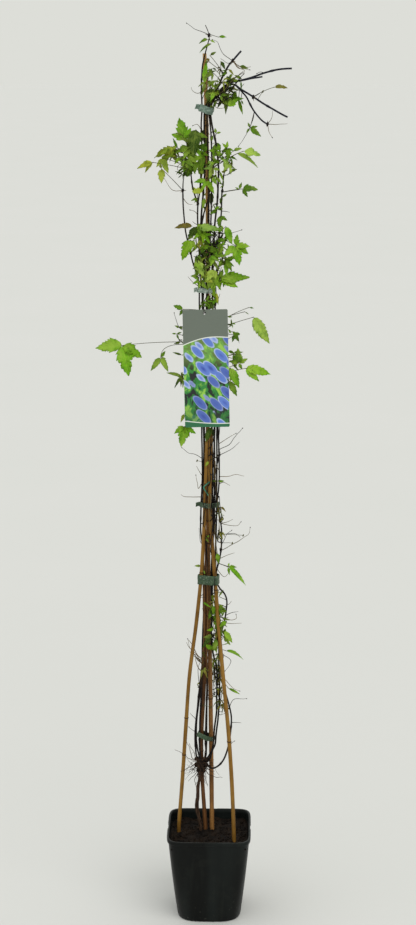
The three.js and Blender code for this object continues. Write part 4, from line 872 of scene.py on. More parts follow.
# %% A closed sheet
def sheet_faces(rows, columns):
    """Faces of a closed sheet: the upper grid, the lower grid turned round, and a rim of four strips."""
    i, j = np.arange(rows - 1)[:, None], np.arange(columns - 1)[None, :]
    top = np.stack([i * columns + j, (i + 1) * columns + j, (i + 1) * columns + j + 1, i * columns + j + 1], -1)
    top = top.reshape(-1, 4)
    below = rows * columns
    up, over = np.arange(rows), np.arange(columns)
    edge = np.concatenate([up[::-1] * columns, over[1:], up[1:] * columns + columns - 1,
                           (rows - 1) * columns + over[::-1][1:-1]])
    after = np.roll(edge, -1)
    rim = np.stack([edge, after, after + below, edge + below], axis=-1)
    return np.vstack([top, top[:, ::-1] + below, rim])


def sheet(middle, thick, laid=None):
    """Two grids, the middle moved by thick to each side, square to its own surface, and the rim between them."""
    face = unit(np.cross(np.gradient(middle, axis=0), np.gradient(middle, axis=1)))
    sides = np.stack([middle + face * thick, middle - face * thick])
    return sides, sheet_faces(*middle.shape[:2]), sides if laid is None else np.stack([laid, laid])


print("Faces of a small sheet:", len(sheet_faces(4, 3)))

# %% One blade
def blade(base, along, normal, length, form, sag, chance):
    """A closed sheet. Middle: base + along x length x s + across x half width x t + normal x rise - up x sag
    x length x s^2. The rise is fold x |offset| - curl x length x s^2, plus waves. The upper and the lower side are
    the middle moved by half the thickness, which goes from 0.58 mm at the rib's foot to 0.34 mm at the edge."""
    wide, fold, curl, depth, drawn_in = FORMS[form]
    teeth = int(np.clip(round(length / TOOTH_LENGTH), 3, 7))
    saws = (np.arange(teeth)[:, None] + np.array([0.02, 0.5, 0.97])) / teeth
    rows = np.append(np.clip(np.append([0, 0.03, 0.07], saws.ravel() * 0.9 + 0.1), 0, 0.985), 1.0)
    share = np.unique(np.round(rows, 4))
    columns = FINE if length > 20 else COARSE
    s, t = share[:, None], columns[None, :]
    place = np.clip((s - 0.1) / 0.9, 0, 0.9999) * teeth
    saw = place - np.floor(place)
    cut = chance.uniform(0.6, 1.3, (2, teeth + 1))
    which = np.minimum(np.floor(place).astype(int), teeth)[:, 0]
    depths = np.where(t < 0, cut[0, which][:, None], cut[1, which][:, None]) * depth
    notch = 1 - depths * (1 - saw) * (s > 0.1) * np.abs(t) ** 3
    waist = drawn_in * np.where(t < 0, cut[0, 0], cut[1, 0])
    lobe = (1 - waist * bell(s - 0.52, 0.09)) * (1 - 0.25 * s**3)
    half = length * wide / 2 * np.sin(math.pi * np.clip(s, 0.0006, 0.9997) ** 0.72) ** 0.85 * notch * lobe
    half = np.maximum(half, 0.28 - 0.2 * s)
    offset = half * t
    forward = 0.035 * length * np.abs(t) ** 3 * (saw - 0.4) * (s > 0.1) * (s < 0.96)
    forward = forward + 0.3 * waist * length * np.abs(t) ** 3 * bell(s - 0.38, 0.12)
    wave = chance.uniform(0.6, 1.4) * np.sin(2 * math.pi * (1.6 * s + chance.uniform()) + 1.3 * np.sign(t))
    rise = fold * np.abs(offset) - curl * length * s**2 + 0.09 * length * wide * wave * t**2
    vein = np.cos(2 * math.pi * (s - VEIN_SLANT * np.abs(t)) * SIDE_VEINS)
    rise = rise + 0.02 * length * wide * vein * np.abs(t) * (1 - s)
    sway = chance.uniform(-0.05, 0.05) * length * s**2
    across = np.cross(normal, along)
    middle = base + along * (length * s + forward)[..., None] + across * (offset + sway)[..., None]
    middle = middle + normal * rise[..., None] - np.array([0, 0, 1.0]) * (sag * length * s**2 + 0 * t)[..., None]
    laid = np.stack([s + 0 * t, t + 0 * s, chance.uniform(0, 1) + 0 * (s + t)], axis=-1)
    return sheet(middle, (0.17 + 0.12 * (1 - t**2) * (1 - 0.6 * s))[..., None], laid)


# %% [markdown]
# ## The leafy stems, as measured
#
# Each stem is noted as it was read off the picture, in millimetres: a stem's row gives its points (x, y, z). A
# leaf's row gives the place (x, z) on the stem where its stalk starts, and the point where its blades meet. Then
# come its form, its colour, and how far it is lifted, how much it sags and which side it faces, where these two
# aren't 0, and last the heading and length of every blade. A heading of 0 is right and 90 is up, seen on the
# leaf's face. Twigs are bare leafstalks and tendrils, and knots are old joints. Notes are shorter than lists in
# code, and as easy to correct.

# %% The eight stems
VINE_NOTES = """
vine_left
stem -23 8.5 291, -25 8 308, -25.8 6 335, -21.6 5 380, -18.4 4.2 418, -14 3.2 455, -10.6 1.2 493, -8.6 .4 545
and -9 .6 600, -9.8 1.4 640, -11.5 2.2 682, -15.2 1 718, -14.3 -1 762, -12 -2.2 806, -12.8 -3 870, -12.4 -3 940
and -13.5 -3 1040, -16.6 -3 1108, -17.2 -3 1135, -20.5 -4 1158, -28 -6 1183, -32 -7 1203, -38.5 -8 1230
and -42.6 -8 1262, -44 -8 1302, -42 -8 1325, -37.5 -8 1346
leaf -14 930, -42 -14 925, oval yellow 15 .1, -115 15
leaf -13 905, -42 -15 903, broad bright 25 .05, -100 34, 212 21, -62 19, -30 22
leaf -14 1045, -146 -24 1044, broad bright 28 .03, 181 46, -28 38, -77 52
leaf -14 1040, -82 -16 1022, oval mid 20 .1, -130 26, 58 15, -58 25, -8 9
leaf -14 1020, -47 -14 990, narrow dark 10 .1, 162 27, -125 22, -95 17, 95 8
leaf -14 1030, -46 -13 1026, narrow dark 10, 162 17
leaf -16 1098, -44 -13 1104, broad mid 20, 158 18, -120 12
leaf -31 1200, -31 -17 1221, broad bright 15 .05, -116 35, -60 17
leaf -40 1238, -28 -20 1244, oval brown 30 .12, 174 30
leaf -44 1303, -79 -13 1338, broad yellow 20, -92 24, 110 10
leaf -37 1345, -40 -18 1347, oval mid 10, -40 18, -150 9
leaf -15 1060, -55 -12 1062, oval mid 10, 175 8, -70 10, 20 9
leaf -15 1068, -50 -12 1073, oval mid 10, 160 9
leaf -10 655, -14 2 650, oval mid 15, 180 12
leaf -9 640, -10 -6 645, oval mid 15, -70 8
twig -14 845, -26 -6 852, -36 -7 855, -47 -8 864
twig -14 776, -42 -7 777, -49 -8 781
twig -13 468, -24 -7 492, -33 -8 501, -38 -8 519
twig -18 425, -20.5 8 448, -18 9 465, -12 3 478
twig -44 1300, -60 -9 1302, -67 -10 1308, -76 -11 1326
twig -17 1142, -28 -5 1150, -36 -5 1158
twig -16 1070, -48 -12 1071, -57 -13 1087, -59 -13 1098
twig -12 815, -16 -8 822, -22 -9 832
twig -12 800, -19 -8 792, -20 -9 803, -23 -9 816
twig -11 690, -16 -2 697, -18 -3 720
twig -12 470, -19 0 477, -25 0 487
twig -22 364, -29 2 370, -34.5 1 377
twig -23 338, -30 3 343, -36.5 2 350
twig -44 1290, -35 -9 1280, -28 -10 1279
twig -37 1344, -50 -9 1345, -53 -9 1337, -46 -9 1330
twig -9 600, -15 -3 595, -6 -6 595
knots -44 1303, -31 1200, -17 425
buds -21 -7 841

vine_tall
stem -6.5 8 293, -6.5 6.5 308, -7.6 5.2 330, -6.2 5 352, -5.2 5 385, -4.6 3.6 425, -4.3 2.6 462, -4.4 1.6 495
and -3.2 .2 540, -3.2 -1.4 600, -3.6 -1.4 650, -6.5 .2 705, -10 2.8 762, -9.6 3 850, -9.6 .4 930, -9.4 -5.4 1040
and -11.4 -7.4 1110, -12.4 -7.6 1135, -14.5 -8 1160, -16.8 -8 1200, -17.6 -8 1230, -19.6 -8 1255, -19 -8 1280
and -15.8 -7.6 1302, -14 -7 1322, -13.4 -6 1345, -12.8 -5 1385, -13.4 -4.4 1408, -12 -4.4 1436, -12.4 -4.6 1455
and -13.2 -5 1472, -12.5 -5 1490, -11 -5 1506, -7 -5 1523, -3 -5 1537, 0 -5 1550, -2.5 -5 1560, -6.5 -5 1569
stem -19 -8 1279, -24 -8.5 1294, -28.5 -9 1311, -30.4 -9 1330, -29.8 -9 1350, -28 -9 1370
leaf -29 1360, -41 -12 1386, broad bright 15, 104 38, 156 23, 60 22
leaf -29 1352, -52 -11 1371, narrow mid 15, 116 20
leaf -28 1368, -58 -13 1369, broad olive 30 .3, 183 33, 214 28
leaf -28 1370, -32 -13 1374, broad mid 30 .1, 200 26, -120 22
leaf -30 1335, -93 -21 1349, oval yellow 20 .25, 190 26, 222 18
leaf -30 1340, -77 -18 1356, oval yellow 20, -70 27, -120 18
leaf -13 1385, -22 -12 1402, broad dark 20, -98 44
leaf -14 1360, -12 -10 1364, oval mid 15, -93 29
leaf -14 1350, -20 -11 1348, broad mid 20, -135 19
leaf -19 1282, -20 -12 1296, broad yellow 20, 122 17, 62 19
leaf -18 1235, -22 -13 1243, broad dark 5, -118 26, -75 24
leaf -16 1190, -22 -13 1187, broad pale 20, -64 30
leaf -12 1450, -5 -9 1464, oval dark 20, -72 22
leaf -12 1460, -8 -9 1476, narrow bright 0, 86 38
leaf -12 1462, -2 -9 1470, oval yellow 15, 52 15
leaf -1 1545, -2 -8 1546, oval mid 20 .45, 178 15
leaf -3 1538, 3 -8 1539, narrow mid 20 .4, 196 20
leaf 0 1555, 15 -7 1550, oval bright 30 .1, 10 13
leaf -19 1278, -20 -11 1290, oval mid 20, 206 11, -115 9
leaf 0 1548, 1 -9 1545, oval bright 20 .1, -20 9
leaf -12 1120, -14 -12 1113, oval mid 15, -100 9
twig 0 1554, -12 -5 1558, -24 -5 1563, -37 -5 1572
twig -12 1461, -20 -6 1460, -27 -6 1464, -30 -6 1470
twig -20 1262, -25 -9 1268, -32 -9 1270
twig -19 1246, -24 -9 1248, -28 -9 1251
twig -13 1400, -20 -7 1410, -27 -8 1408
knots -19 1280, -13 1461, 0 1553

vine_mid
stem -15.5 -2 292, -17.4 3.4 318, -17.2 5 345, -16.5 5.6 375, -14.8 6.4 402, -13 7 432, -11.4 7.4 465, -9.2 5.6 495
and -8 5.6 520, -10.2 7 560, -10.6 7.6 628, -10 8.6 700, -9 10 762, -8.6 10 850, -9.4 7.2 930, -8 -.2 1040
and -4.6 -2.4 1110, -3.2 -2.4 1140, -2 -2.4 1200, -1.2 -2.8 1250, -1.2 -2.8 1335, -2.6 -3.4 1370, -3.4 -4.6 1410
and -3.6 -6.6 1432, 0 -8 1447, 8 -8 1458, 14 -8 1470, 21 -8 1485, 27 -8 1497, 33 -8 1507, 38 -8 1512.5, 52 -8 1528
leaf 5 1455, 30 -15 1439, broad bright 20, 38 24
leaf 12 1465, 8 -14 1463, oval bright 20, -110 17
leaf 14 1470, 18 -14 1458, oval mid 20, -70 11, 0 13
leaf 22 1488, 19 -13 1512, oval dark 20, -62 15
leaf 37 1511, 49 -11 1504, oval mid 20, -15 15
leaf 25 1493, 31 -12 1499, oval brown 20 .3, -35 11
leaf 24 1491, 1 -12 1521, oval dark 20, 32 12
leaf -10 700, -6 -8 704, oval bright 15, 30 9, -60 9
twig 38 1512, 25 -9 1521, 17 -9 1533, 12 -9 1543, 5 -9 1546
twig 38 1512, 50 -14 1503, 60 -15 1502, 68 -15 1503
twig 23 1490, 16 -9 1488, 13 -10 1480, 14 -10 1475
twig 38 1512, 30 -10 1509, 18 -11 1516
twig 38 1512, 48 -15 1500, 57 -16 1499, 66 -16 1498
twig 38 1512, 50 -14 1501, 57 -15 1497, 54 -16 1489
knots 23 1492, 38 1512
buds 3 -4 390

vine_inner
stem -7 12.5 294, -5.6 13.4 312, -5 14.8 345, -4.8 17 380, -4.2 20.4 420, -2.4 20.8 455, 2 20 500, 4.2 17 560
and 5.2 14 628, 5.6 11.5 700, 5.2 10.8 762, 4.6 10.6 850, 3 12.4 920, -2 13.4 970, -8 11 1030, -10.8 6.4 1085
and -10.8 2 1115, -9.4 -2 1140, -10 -3.2 1165, -12.2 -3.6 1200, -14.2 -3.6 1238, -12.4 -3 1276, -9.6 -2.4 1302
and -7.8 -2.4 1330, -7.8 -2.6 1375, -8.4 -2.4 1405, -7.6 -3 1430, -4 -3.4 1444, 4 -3 1452, 14 -3 1461, 26 -3 1472.5
and 40 -3 1478.5, 52 -3 1481, 70 -3 1486, 90 -2 1493, 110 -1 1498, 135 0 1500
stem 44 -3 1479, 56 -6 1481.5, 70 -8 1484.5, 87 -9 1487
leaf 24 1470, 27 -9 1479, oval mid 25, 25 14, -40 12
leaf 44 1479, 53 -9 1484, oval mid 25 -.1, 156 13
leaf 50 1481, 52 -9 1480, narrow mid 15, -90 14
twig 90 1493, 84 -4 1494, 78 -4 1492
knots 44 1479

vine_front
stem -3.2 -.5 277, 5 -6 275, 14 -13 281, 22 -16 290, 28.5 -16.5 302, 34 -16 320, 38.5 -14.5 350, 39 -13 376
and 35.5 -11 396, 29.5 -9 418, 24.5 -7.2 448, 21.6 -5.8 480, 20 -4.6 508, 22 -3.8 532, 27 -3.6 552, 29.6 -3.4 570
and 30.4 -3.4 588, 27 -3.4 600, 17 -2.6 613, 12.6 -2 626, 13 -1.6 642, 17.5 -1.8 662, 21 -2 690, 20.8 -2.4 722
and 17.4 -2.8 745, 13.6 -3 764, 15.6 -3 786, 17 -3.2 812, 17 -3.4 850, 14.8 -4.2 900, 10 -6.4 960, 3 -8.2 1040
and -3.6 -8.4 1105, -4.8 -8.4 1140, -8 -8.6 1172, -11.2 -9 1205, -12.6 -9 1240, -9.4 -8.6 1262, -5.2 -8.2 1276
and -1.6 -7.6 1290, 1.4 -7.2 1305, 4.4 -7.2 1325, 6.8 -7.6 1345, 9.4 -8.4 1363
leaf 9 1362, 10 -13 1367, broad bright 20, 48 14, -25 12, 170 11
leaf 9 1362, 29 -12 1371, oval bright 20, 85 13, 125 12, -15 12
leaf 7 1345, 32 -13 1372, broad mid 15, -94 20
leaf 7 1343, 40 -12 1367, oval mid 20 .2, 30 16
leaf 6 1340, 46 -13 1363, narrow mid 15 .35, -14 36
leaf 3 1318, 5 -13 1325, broad mid 20, -62 15
leaf -9 1264, -8 -13 1290, oval mid 20, -100 18
leaf -13 1245, -18 -18 1241, oval pale 30 .02, 1 36
leaf -8 1180, 8 -17 1172, broad pale 20, -122 24, -80 17
leaf -10 1190, 9 -13 1196, oval bright 20, -108 20, -60 14
leaf -5 1150, 2 -13 1160, oval mid 15, -97 22
leaf 14 905, 3 -11 901, oval dark 15, -112 27, -75 16
leaf 17 806, 15 -12 806, oval mid 10, 2 11, 178 10
leaf 20 655, 33 -7 651, oval bright 20 .2, 78 9, 10 15, -80 12
leaf 20 655, 34 -8 652, narrow bright 15 .25, -38 38
leaf 25 545, 31 -17 556, broad bright 5, -140 17
leaf 23 535, 27 -18 538, oval bright 5, -58 26
leaf 23 500, 30 -7 497, narrow bright 25 .5, 0 30
leaf 5 1330, 6 -13 1339, broad mid 20, -15 12
leaf -4 1130, 3 -12 1118, oval mid 10, -95 12
leaf 29 570, 19 -16 576, broad mid 5, -30 11
leaf 17 850, -1 -12 842, broad yellow 15, -120 11
leaf -5 1125, 2 -12 1117, oval mid 10, -80 12
leaf 26 440, 34 -9 428, narrow bright 20 .1, -22 22
twig 17 858, 34 -8 869, 42 -9 882, 52 -9 894, 57 -9 899
twig 17 812, 35 -5 813, 48 -6 817, 60 -6 814
twig 21 728, 38 -5 725, 50 -5 726, 55 -5 732
twig 21 710, 45 -4 710, 54 -4 704
twig 20 680, 45 -5 694, 60 -5 704, 69 -5 711, 71 -5 722
twig 26 548, 40 -6 548, 57 -6 548
twig 36 394, 45 -12 409, 66 -12 410
twig 39 366, 48 -14 366, 57 -14 365
twig 25 448, 35 -9 436, 44 -9 428, 54 -9 423
twig 17 852, 30 -8 858, 42 -10 866, 52 -10 875
twig 16 872, 30 -6 880, 46 -9 890
twig 21 730, 30 -5 732, 41 -5 737
twig 21 690, 26 -5 700, 31 -6 710, 39 -6 717
twig 19 664, 35 -4 673, 44 -4 676
twig 17 645, 26 -3 632, 35 -3 640
twig 29 560, 42 -5 568, 51 -5 569
twig 28 555, 40 -5 553, 48 -5 557, 47 -5 564
twig 30 580, 34 -4 582, 39 -4 588
twig 35 320, 40 -13 326, 45 -13 330
twig 17 800, 25 -8 803, 36 -9 798
twig 20 515, 30 -7 525, 36 -8 518
knots 17 851, 21 733, 21 681, 28 555, -11 1204
buds 40 -6 694, 59 -6 708

vine_low
stem -.5 5.5 286, 3.5 3 298, 7.4 2.4 320, 8.8 1.6 345, 11 .2 365, 13 -1.2 385, 13.4 -3 420, 14 -4 445, 12 -4.4 468
and 8 -4.6 485, 5 -4.6 502, 3.6 -4.4 525, 4 -3.6 560, 3.6 -1.4 600, 3.6 .2 640, 5.2 2 680, 8 2 725, 8.6 -1 762
and 8.6 -1.6 850, 8.6 -1 930, 8.4 -1.6 1040, 5.6 -3.4 1110, 4.6 -4.4 1136, 5 -5.4 1170, 7 -5.6 1205, 8.4 -5.6 1235
and 9.4 -5.4 1250, 12.8 -5.4 1276, 14.2 -5.4 1302, 15 -5.4 1335, 14.4 -5 1352, 12.8 -4 1366, 10.4 -2 1382
and 6.6 -.4 1398, 3.2 1.6 1414, 1.4 3.2 1430, 4 3.4 1443, 12 3.4 1456, 22 3.4 1466, 32 3.4 1473, 40 3.4 1474.5
and 52 3.4 1466.5, 72 3.4 1454, 90 3.4 1442.5, 110 3.4 1431.5, 129 3.4 1421.5
stem 44 3.4 1472, 53 7.4 1463, 61 9 1453.5, 67 9.6 1442, 74 10 1430, 86 10 1416, 97 10 1409
leaf 15 1338, 17 -8 1334, narrow mid 15, -68 18
leaf 14 1300, 11 -9 1324, oval mid 20, -48 13
leaf 11 1265, 13 -9 1271, broad mid 20, 214 14, 5 10
leaf 8 1235, 14 -9 1216, broad mid 20, -55 18
leaf 7 1210, 17 -9 1203, broad bright 20, -112 18
leaf 7 1200, 20 -10 1188, oval mid 15, -108 13
leaf 5 1160, 13 -9 1164, oval bright 15, -100 26
leaf 5 1158, 12 -15 1133, narrow yellow 15, -80 21
leaf 9 1070, 75 -18 1092, oval pale 15 .04, -61 50
leaf 9 1050, 39 -13 1067, oval mid 20 .1, -46 16
leaf 8 722, 14 -14 679, oval mid 5, -84 20
leaf 4 570, -11 -8 587, narrow bright 15, -34 17
leaf 4 560, 7 -16 584, oval mid 5, -88 18
leaf 4 515, 12 -18.5 524, oval mid 5, -96 24
leaf 4 508, -7 -9 509, oval bright 15, -30 21
leaf 72 1455, 107 2 1470, oval brown 40 .1, 6 22
leaf 74 1430, 67 5 1404, oval mid 20, -38 23, 10 13, 110 10, -125 10
leaf 50 1468, 48 -1 1451, narrow mid 15, -75 26, 10 9
leaf 10 1385, 11 -8 1395, broad mid 20, 100 10, 20 9
leaf 6 1400, 3 -8 1382, oval mid 20, 78 12
leaf 9 1080, 60 -18 1101, narrow mid 20, -32 8
leaf 9 1075, 67 -16 1108, oval mid 30, -8 8
leaf 9 1060, 32 -13 1071, oval mid 20, -55 9
leaf 54 1464, 52 -2 1449, oval mid 20, -60 8
leaf 9 1075, 30 -15 1092, oval mid 20, 0 9
twig 74 1430, 72 6 1416, 60 4 1393, 48 3 1374
twig 97 1409, 110 10 1409, 129 10 1410.5
twig 97 1409, 98 10 1398, 104 10 1388
twig 72 1454, 80 2 1459, 88 2 1464
twig 18 1462, 10 -1 1437, 20 -1 1436, 28 -2 1438
twig 97 1409, 103 10 1420, 104 10 1431
knots 72 1456, 97 1409, 4 512, 14 1362
buds 88 2 1463

vine_right
stem -3 10.5 289, 3 9.5 300, 9.6 7 314, 11.8 5.2 332, 13.8 3.2 350, 15.4 1.6 364, 17 .4 385, 18.2 0 415
and 17.8 -.8 445, 17 -.8 475, 16.4 -.2 502, 13 .6 525, 11.8 1.2 560, 10.8 2.2 600, 10.6 3.4 640, 11.4 4 700
and 12.6 3.4 762, 12.8 2.4 850, 13.4 3.6 930, 12.6 3.4 1040, 9.6 1.4 1110, 9 1 1136, 10.4 -.4 1157, 13.4 -2 1171
and 18.6 -3.4 1180, 22.4 -4 1190, 21 -4.4 1202, 17.4 -4.6 1217, 16.8 -4.8 1232, 18.6 -4.8 1248, 19.8 -4.8 1266
and 20.4 -4.8 1284, 21.6 -4.8 1303, 23.6 -4.8 1322, 26 -4.8 1338, 29.4 -5.2 1350, 32 -6 1357
leaf 31 1355, 57 -12 1367, broad pale 25 .03, -10 28
leaf 27 1342, 28 -9 1345, narrow mid 20 .3, -12 16
leaf 21 1300, 50 -10 1304, oval mid 20, 75 13, 152 8
leaf 21 1300, 55 -11 1305, broad mid 25 .1, 8 26, -55 15
leaf 19 1250, 18 -10 1260, broad mid 20, -98 18, -32 14
leaf 17 1232, 28 -11 1243, oval bright 15, -72 31
leaf 17 1225, 44 -14 1211, broad bright 20, 80 20, 2 24, -78 33, -138 25, -30 25
leaf 22 1190, 28 -10 1189, oval mid 15, -64 23
leaf 12 1165, 18 -9 1154, oval bright 25, 8 50, -20 33, 78 20
leaf 13 1020, 50 -16 1013, broad mid 20, 30 17, 165 17, 92 26, -60 12
leaf 13 990, 62 -20 1005, oval bright 25 .02, -9 43, -44 31
leaf 13 985, 36 -16 1005, oval bright 15, -66 37, -100 16
leaf 13 970, 34 -13 982, oval mid 15, -62 29
leaf 13 1000, 32 -12 1033, oval mid 20, 0 8, -20 12
leaf 17 505, 25 -6 508, narrow bright 20, 18 9
leaf 18 430, 19 -5 424, oval yellow 15, 60 7, 170 7
twig 17 1230, 33 -8 1230, 41 -8 1233, 54 -8 1237
twig 10 1155, 20 -2 1150, 28 -2 1142
twig 17 1220, 26 -7 1225, 36 -7 1230
twig 20 1268, 27 -6 1268, 34 -7 1266
twig 16 375, 21 -3 376, 28 -4 379
twig 17 380, 22 -3 382, 27 -4 393
twig 17 490, 38 -6 480, 35 -8 470, 28 -8 460
twig 13 1040, 45 -14 1058, 51 -15 1047
knots 21 1301, 18 421, 14 1170
buds 14 -6 1165

vine_back
stem -18 12.6 289, -22.4 15 306, -24 18.6 338, -20.4 21.4 380, -15.4 22.4 425, -13 23.4 470, -12.4 23.6 520
and -9 23.8 570, -1.4 22.4 628, 0 18.6 700, -1.2 15.8 762, -2 15.4 850, -4 17.6 930, -3 19 1000, -2 17 1070
and -1.4 13.4 1136, 1 13.6 1210, 3 13.4 1290, 3.4 12.4 1360, 1 10.6 1410, -2.2 9.8 1436, -4 12 1470, -1 14 1500
leaf 0 1085, -22 38 1076, broad mid 25 .1 165, -60 26, -110 22
leaf -2 1010, -14 44 998, broad dark 30 .1 170, -95 34, -40 22
leaf 0 975, 12 40 960, oval mid 20 .1 200, -85 30, -128 20
leaf -4 940, -16 34 930, broad bright 25 .1 160, -80 24, -30 15
leaf 0 1165, -10 32 1172, broad dark 25 .1 175, -90 26, -40 18
leaf 2 1205, 8 34 1214, oval mid 25 .1 190, -75 26, -125 20
leaf 3 1300, 2 30 1296, oval dark 15 .1 170, -90 22
leaf 3 1340, -14 36 1352, broad mid 25 .1 165, -80 32, -130 20
leaf 3 1370, 12 34 1378, oval bright 25 .1 200, -80 26, -120 18
leaf 0 1410, -8 30 1402, broad dark 25 .1 180, -90 26
leaf -4 1465, 2 30 1468, oval mid 20 .1 190, -70 22, -120 18
leaf 0 700, 1 34 704, oval bright 25 .1 185, -90 18
leaf -8 575, -4 40 580, oval mid 20 .1 180, -85 20
knots -2 850, 1 1210
"""

# %% Reading the notes
def numbers(words):
    """Words made numbers."""
    return tuple(float(word) for word in words)


def read_notes(notes):
    """The stems, leaves, twigs, knots and buds of every vine. A row that begins with "and" goes on with the row
    above it, and commas divide the places in a row."""
    vines = {}
    for row in notes.replace("\nand ", ", ").split("\n"):
        word, _, rest = row.partition(" ")
        parts = [part.split() for part in rest.split(",")]
        if word and not rest:
            vine = vines[word] = {"stem": [], "leaf": [], "twig": [], "knots": [], "buds": []}
        elif word == "leaf":
            start, centre, (form, tone, *angles), *blades = parts
            lift, sag, face = (*numbers(angles), 0, 0)[:3]
            blades = [numbers(blade) for blade in blades]
            vine[word].append((numbers(start), numbers(centre), face, lift, sag, form, tone, blades))
        elif word in ("stem", "twig"):
            vine[word].append([numbers(part) for part in parts])
        elif word:
            vine[word] = [numbers(part) for part in parts]
    return vines


VINES = read_notes(VINE_NOTES)
print(sum(len(row[7]) for vine in VINES.values() for row in vine["leaf"]), "blades in all")

# %% [markdown]
# ## Growing a stem
#
# Everything on a stem starts from the stem: a leafstalk begins at its nearest point, bends, and reaches the place
# where the blades meet from a side that they leave free. The stem swells at each old joint and thins towards its
# tip. Colours go from dark, ripe wood at the foot to green-brown at the top.

# %% Colours of leaves and stems
# The bright and the dark greens are the mid green painted lighter and darker: painted light on the lit leaves, and
# painted shade on the leaves in the shade of others. Yellow, olive, brown and pale are the leaves' own tones.
LEAF_PAINT = {
    "bright": (108, 158, 18), "mid": (80, 120, 14), "dark": (38, 66, 10), "yellow": (156, 168, 52),
    "olive": (106, 124, 20), "brown": (112, 94, 40), "pale": (140, 172, 74)}
RIPE, YOUNG, SLATE = (24, 18, 18), (36, 30, 22), (26, 28, 40)
STALK, DRY, OLD = (78, 80, 36), (104, 90, 62), (122, 86, 48)
BEHIND = ("vine_back",)
PRUNED = ("vine_inner", "vine_low", "vine_mid")
WOODY = ("vine_left", "vine_tall", "vine_mid")
SPREAD = 0.25


def varied(colour, chance):
    """A paint colour with its brightness and its warmth moved a little at random."""
    light = np.array(paint(*colour)[:3]) * (1 + chance.uniform(-SPREAD, SPREAD))
    light = light * (1 + np.array([1, 0, -1]) * chance.uniform(-SPREAD, SPREAD) * 0.6)
    return (*np.clip(light, 0, 1), 1.0)


def blend(first, second, share):
    """Rows of colour, one for each share, that go from the first to the second paint. The first may be such rows
    already."""
    share = np.asarray(share, float)[:, None]
    first = np.array(paint(*first)) if isinstance(first, tuple) else first
    return first * (1 - share) + np.array(paint(*second)) * share


# %% Finding the stem
def along_straights(points):
    """The points and, between each two, nine more on the straight line."""
    p = np.array(points, float)
    share = np.arange(10)[None, :, None] / 10
    return (p[:-1, None] + share * (p[1:] - p[:-1])[:, None]).reshape(-1, 3)


def nearest(samples, place):
    """The sample that is nearest to a place (x, z), seen from the front."""
    return samples[np.argmin(((samples[:, [0, 2]] - place) ** 2).sum(1))]


def turned(first, second, degrees):
    """The direction that lies so many degrees from the first towards the second: cosine x first + sine x
    second."""
    return math.cos(math.radians(degrees)) * first + math.sin(math.radians(degrees)) * second


def leaf_plane(face, lift):
    """The leaf's normal, and its right and up. The normal looks towards face (0 is the front, 90 the right) and
    up by lift."""
    front, side = np.array([0, -1.0, 0]), np.array([1.0, 0, 0])
    normal = turned(turned(front, side, face), np.array([0, 0, 1.0]), lift)
    right = turned(side, -front, face)
    return normal, right, np.cross(normal, right)


def between(a, b):
    """The angle between two headings, 0 to 180."""
    return abs((a - b) % 360 - 360 * ((a - b) % 360 > 180))


def stalk_heading(wanted, blades):
    """The heading nearest to the wanted one that keeps clear of every blade."""
    for change in range(0, 180, 3):
        for turn in (wanted + change, wanted - change):
            if all(between(turn, other) >= CLEAR for other, _ in blades):
                return turn
    return wanted


# %% One leaf with its stalk, in millimetres and degrees: the blades start at a share of the hub from their centre
HUB, START, CLEAR = 2.4, 0.6, 34


def add_leaf(piece, samples, row, chance):
    """The stalk is a bent line: (1 - t)^2 x centre + 2t(1 - t) x bend + t^2 x root, with the bend straight out
    from the centre along the stalk's heading."""
    start, junction, face, lift, sag, form, tone, blades = row
    centre, root = np.array(junction, float), nearest(samples, start)
    normal, right, up = leaf_plane(face, lift)
    toward = root - centre
    heading = turned(right, up, stalk_heading(math.degrees(math.atan2(toward @ up, toward @ right)), blades))
    reach = np.linalg.norm(toward)
    bend = centre + heading * (HUB + 0.4 * reach)
    t = np.linspace(0, 1, 5 + int(reach / 5))[:, None]
    line = (1 - t) ** 2 * centre + 2 * t * (1 - t) * bend + t**2 * root
    thin = 0.48 + 0.22 * t[:, 0] ** 3 + 0.15 * bell(t[:, 0] * reach, 1.5)
    piece.add(rod(line, thin, 6), 0, blend(STALK, YOUNG, 0.3 + 0.5 * t[:, 0]))
    for turn, length in blades:
        along = turned(right, up, turn)
        face_up = turned(normal, np.cross(along, normal), chance.uniform(-15, 15))
        neck = centre + along * HUB * START
        piece.add(rod(np.linspace(centre, neck + along * 1.2, 3), 0.42, 6), 0, paint(*STALK))
        surface = blade(neck, along, face_up, length - HUB * START, form, sag, chance)
        piece.add(surface, 1, varied(LEAF_PAINT[tone], chance))


# %% [markdown]
# ## Young leaves and old scraps
#
# Between the large leaves a real stem is crowded: small young leaves that haven't opened, dry scraps of last
# year's leaves, and thin dead strands that lie along the bundle. They could be listed one by one, but only their
# crowding can be seen. So a list gives the kind, the box that they fill and their number, and chance does the
# rest. Each has a stalk from the nearest point of its own stem.

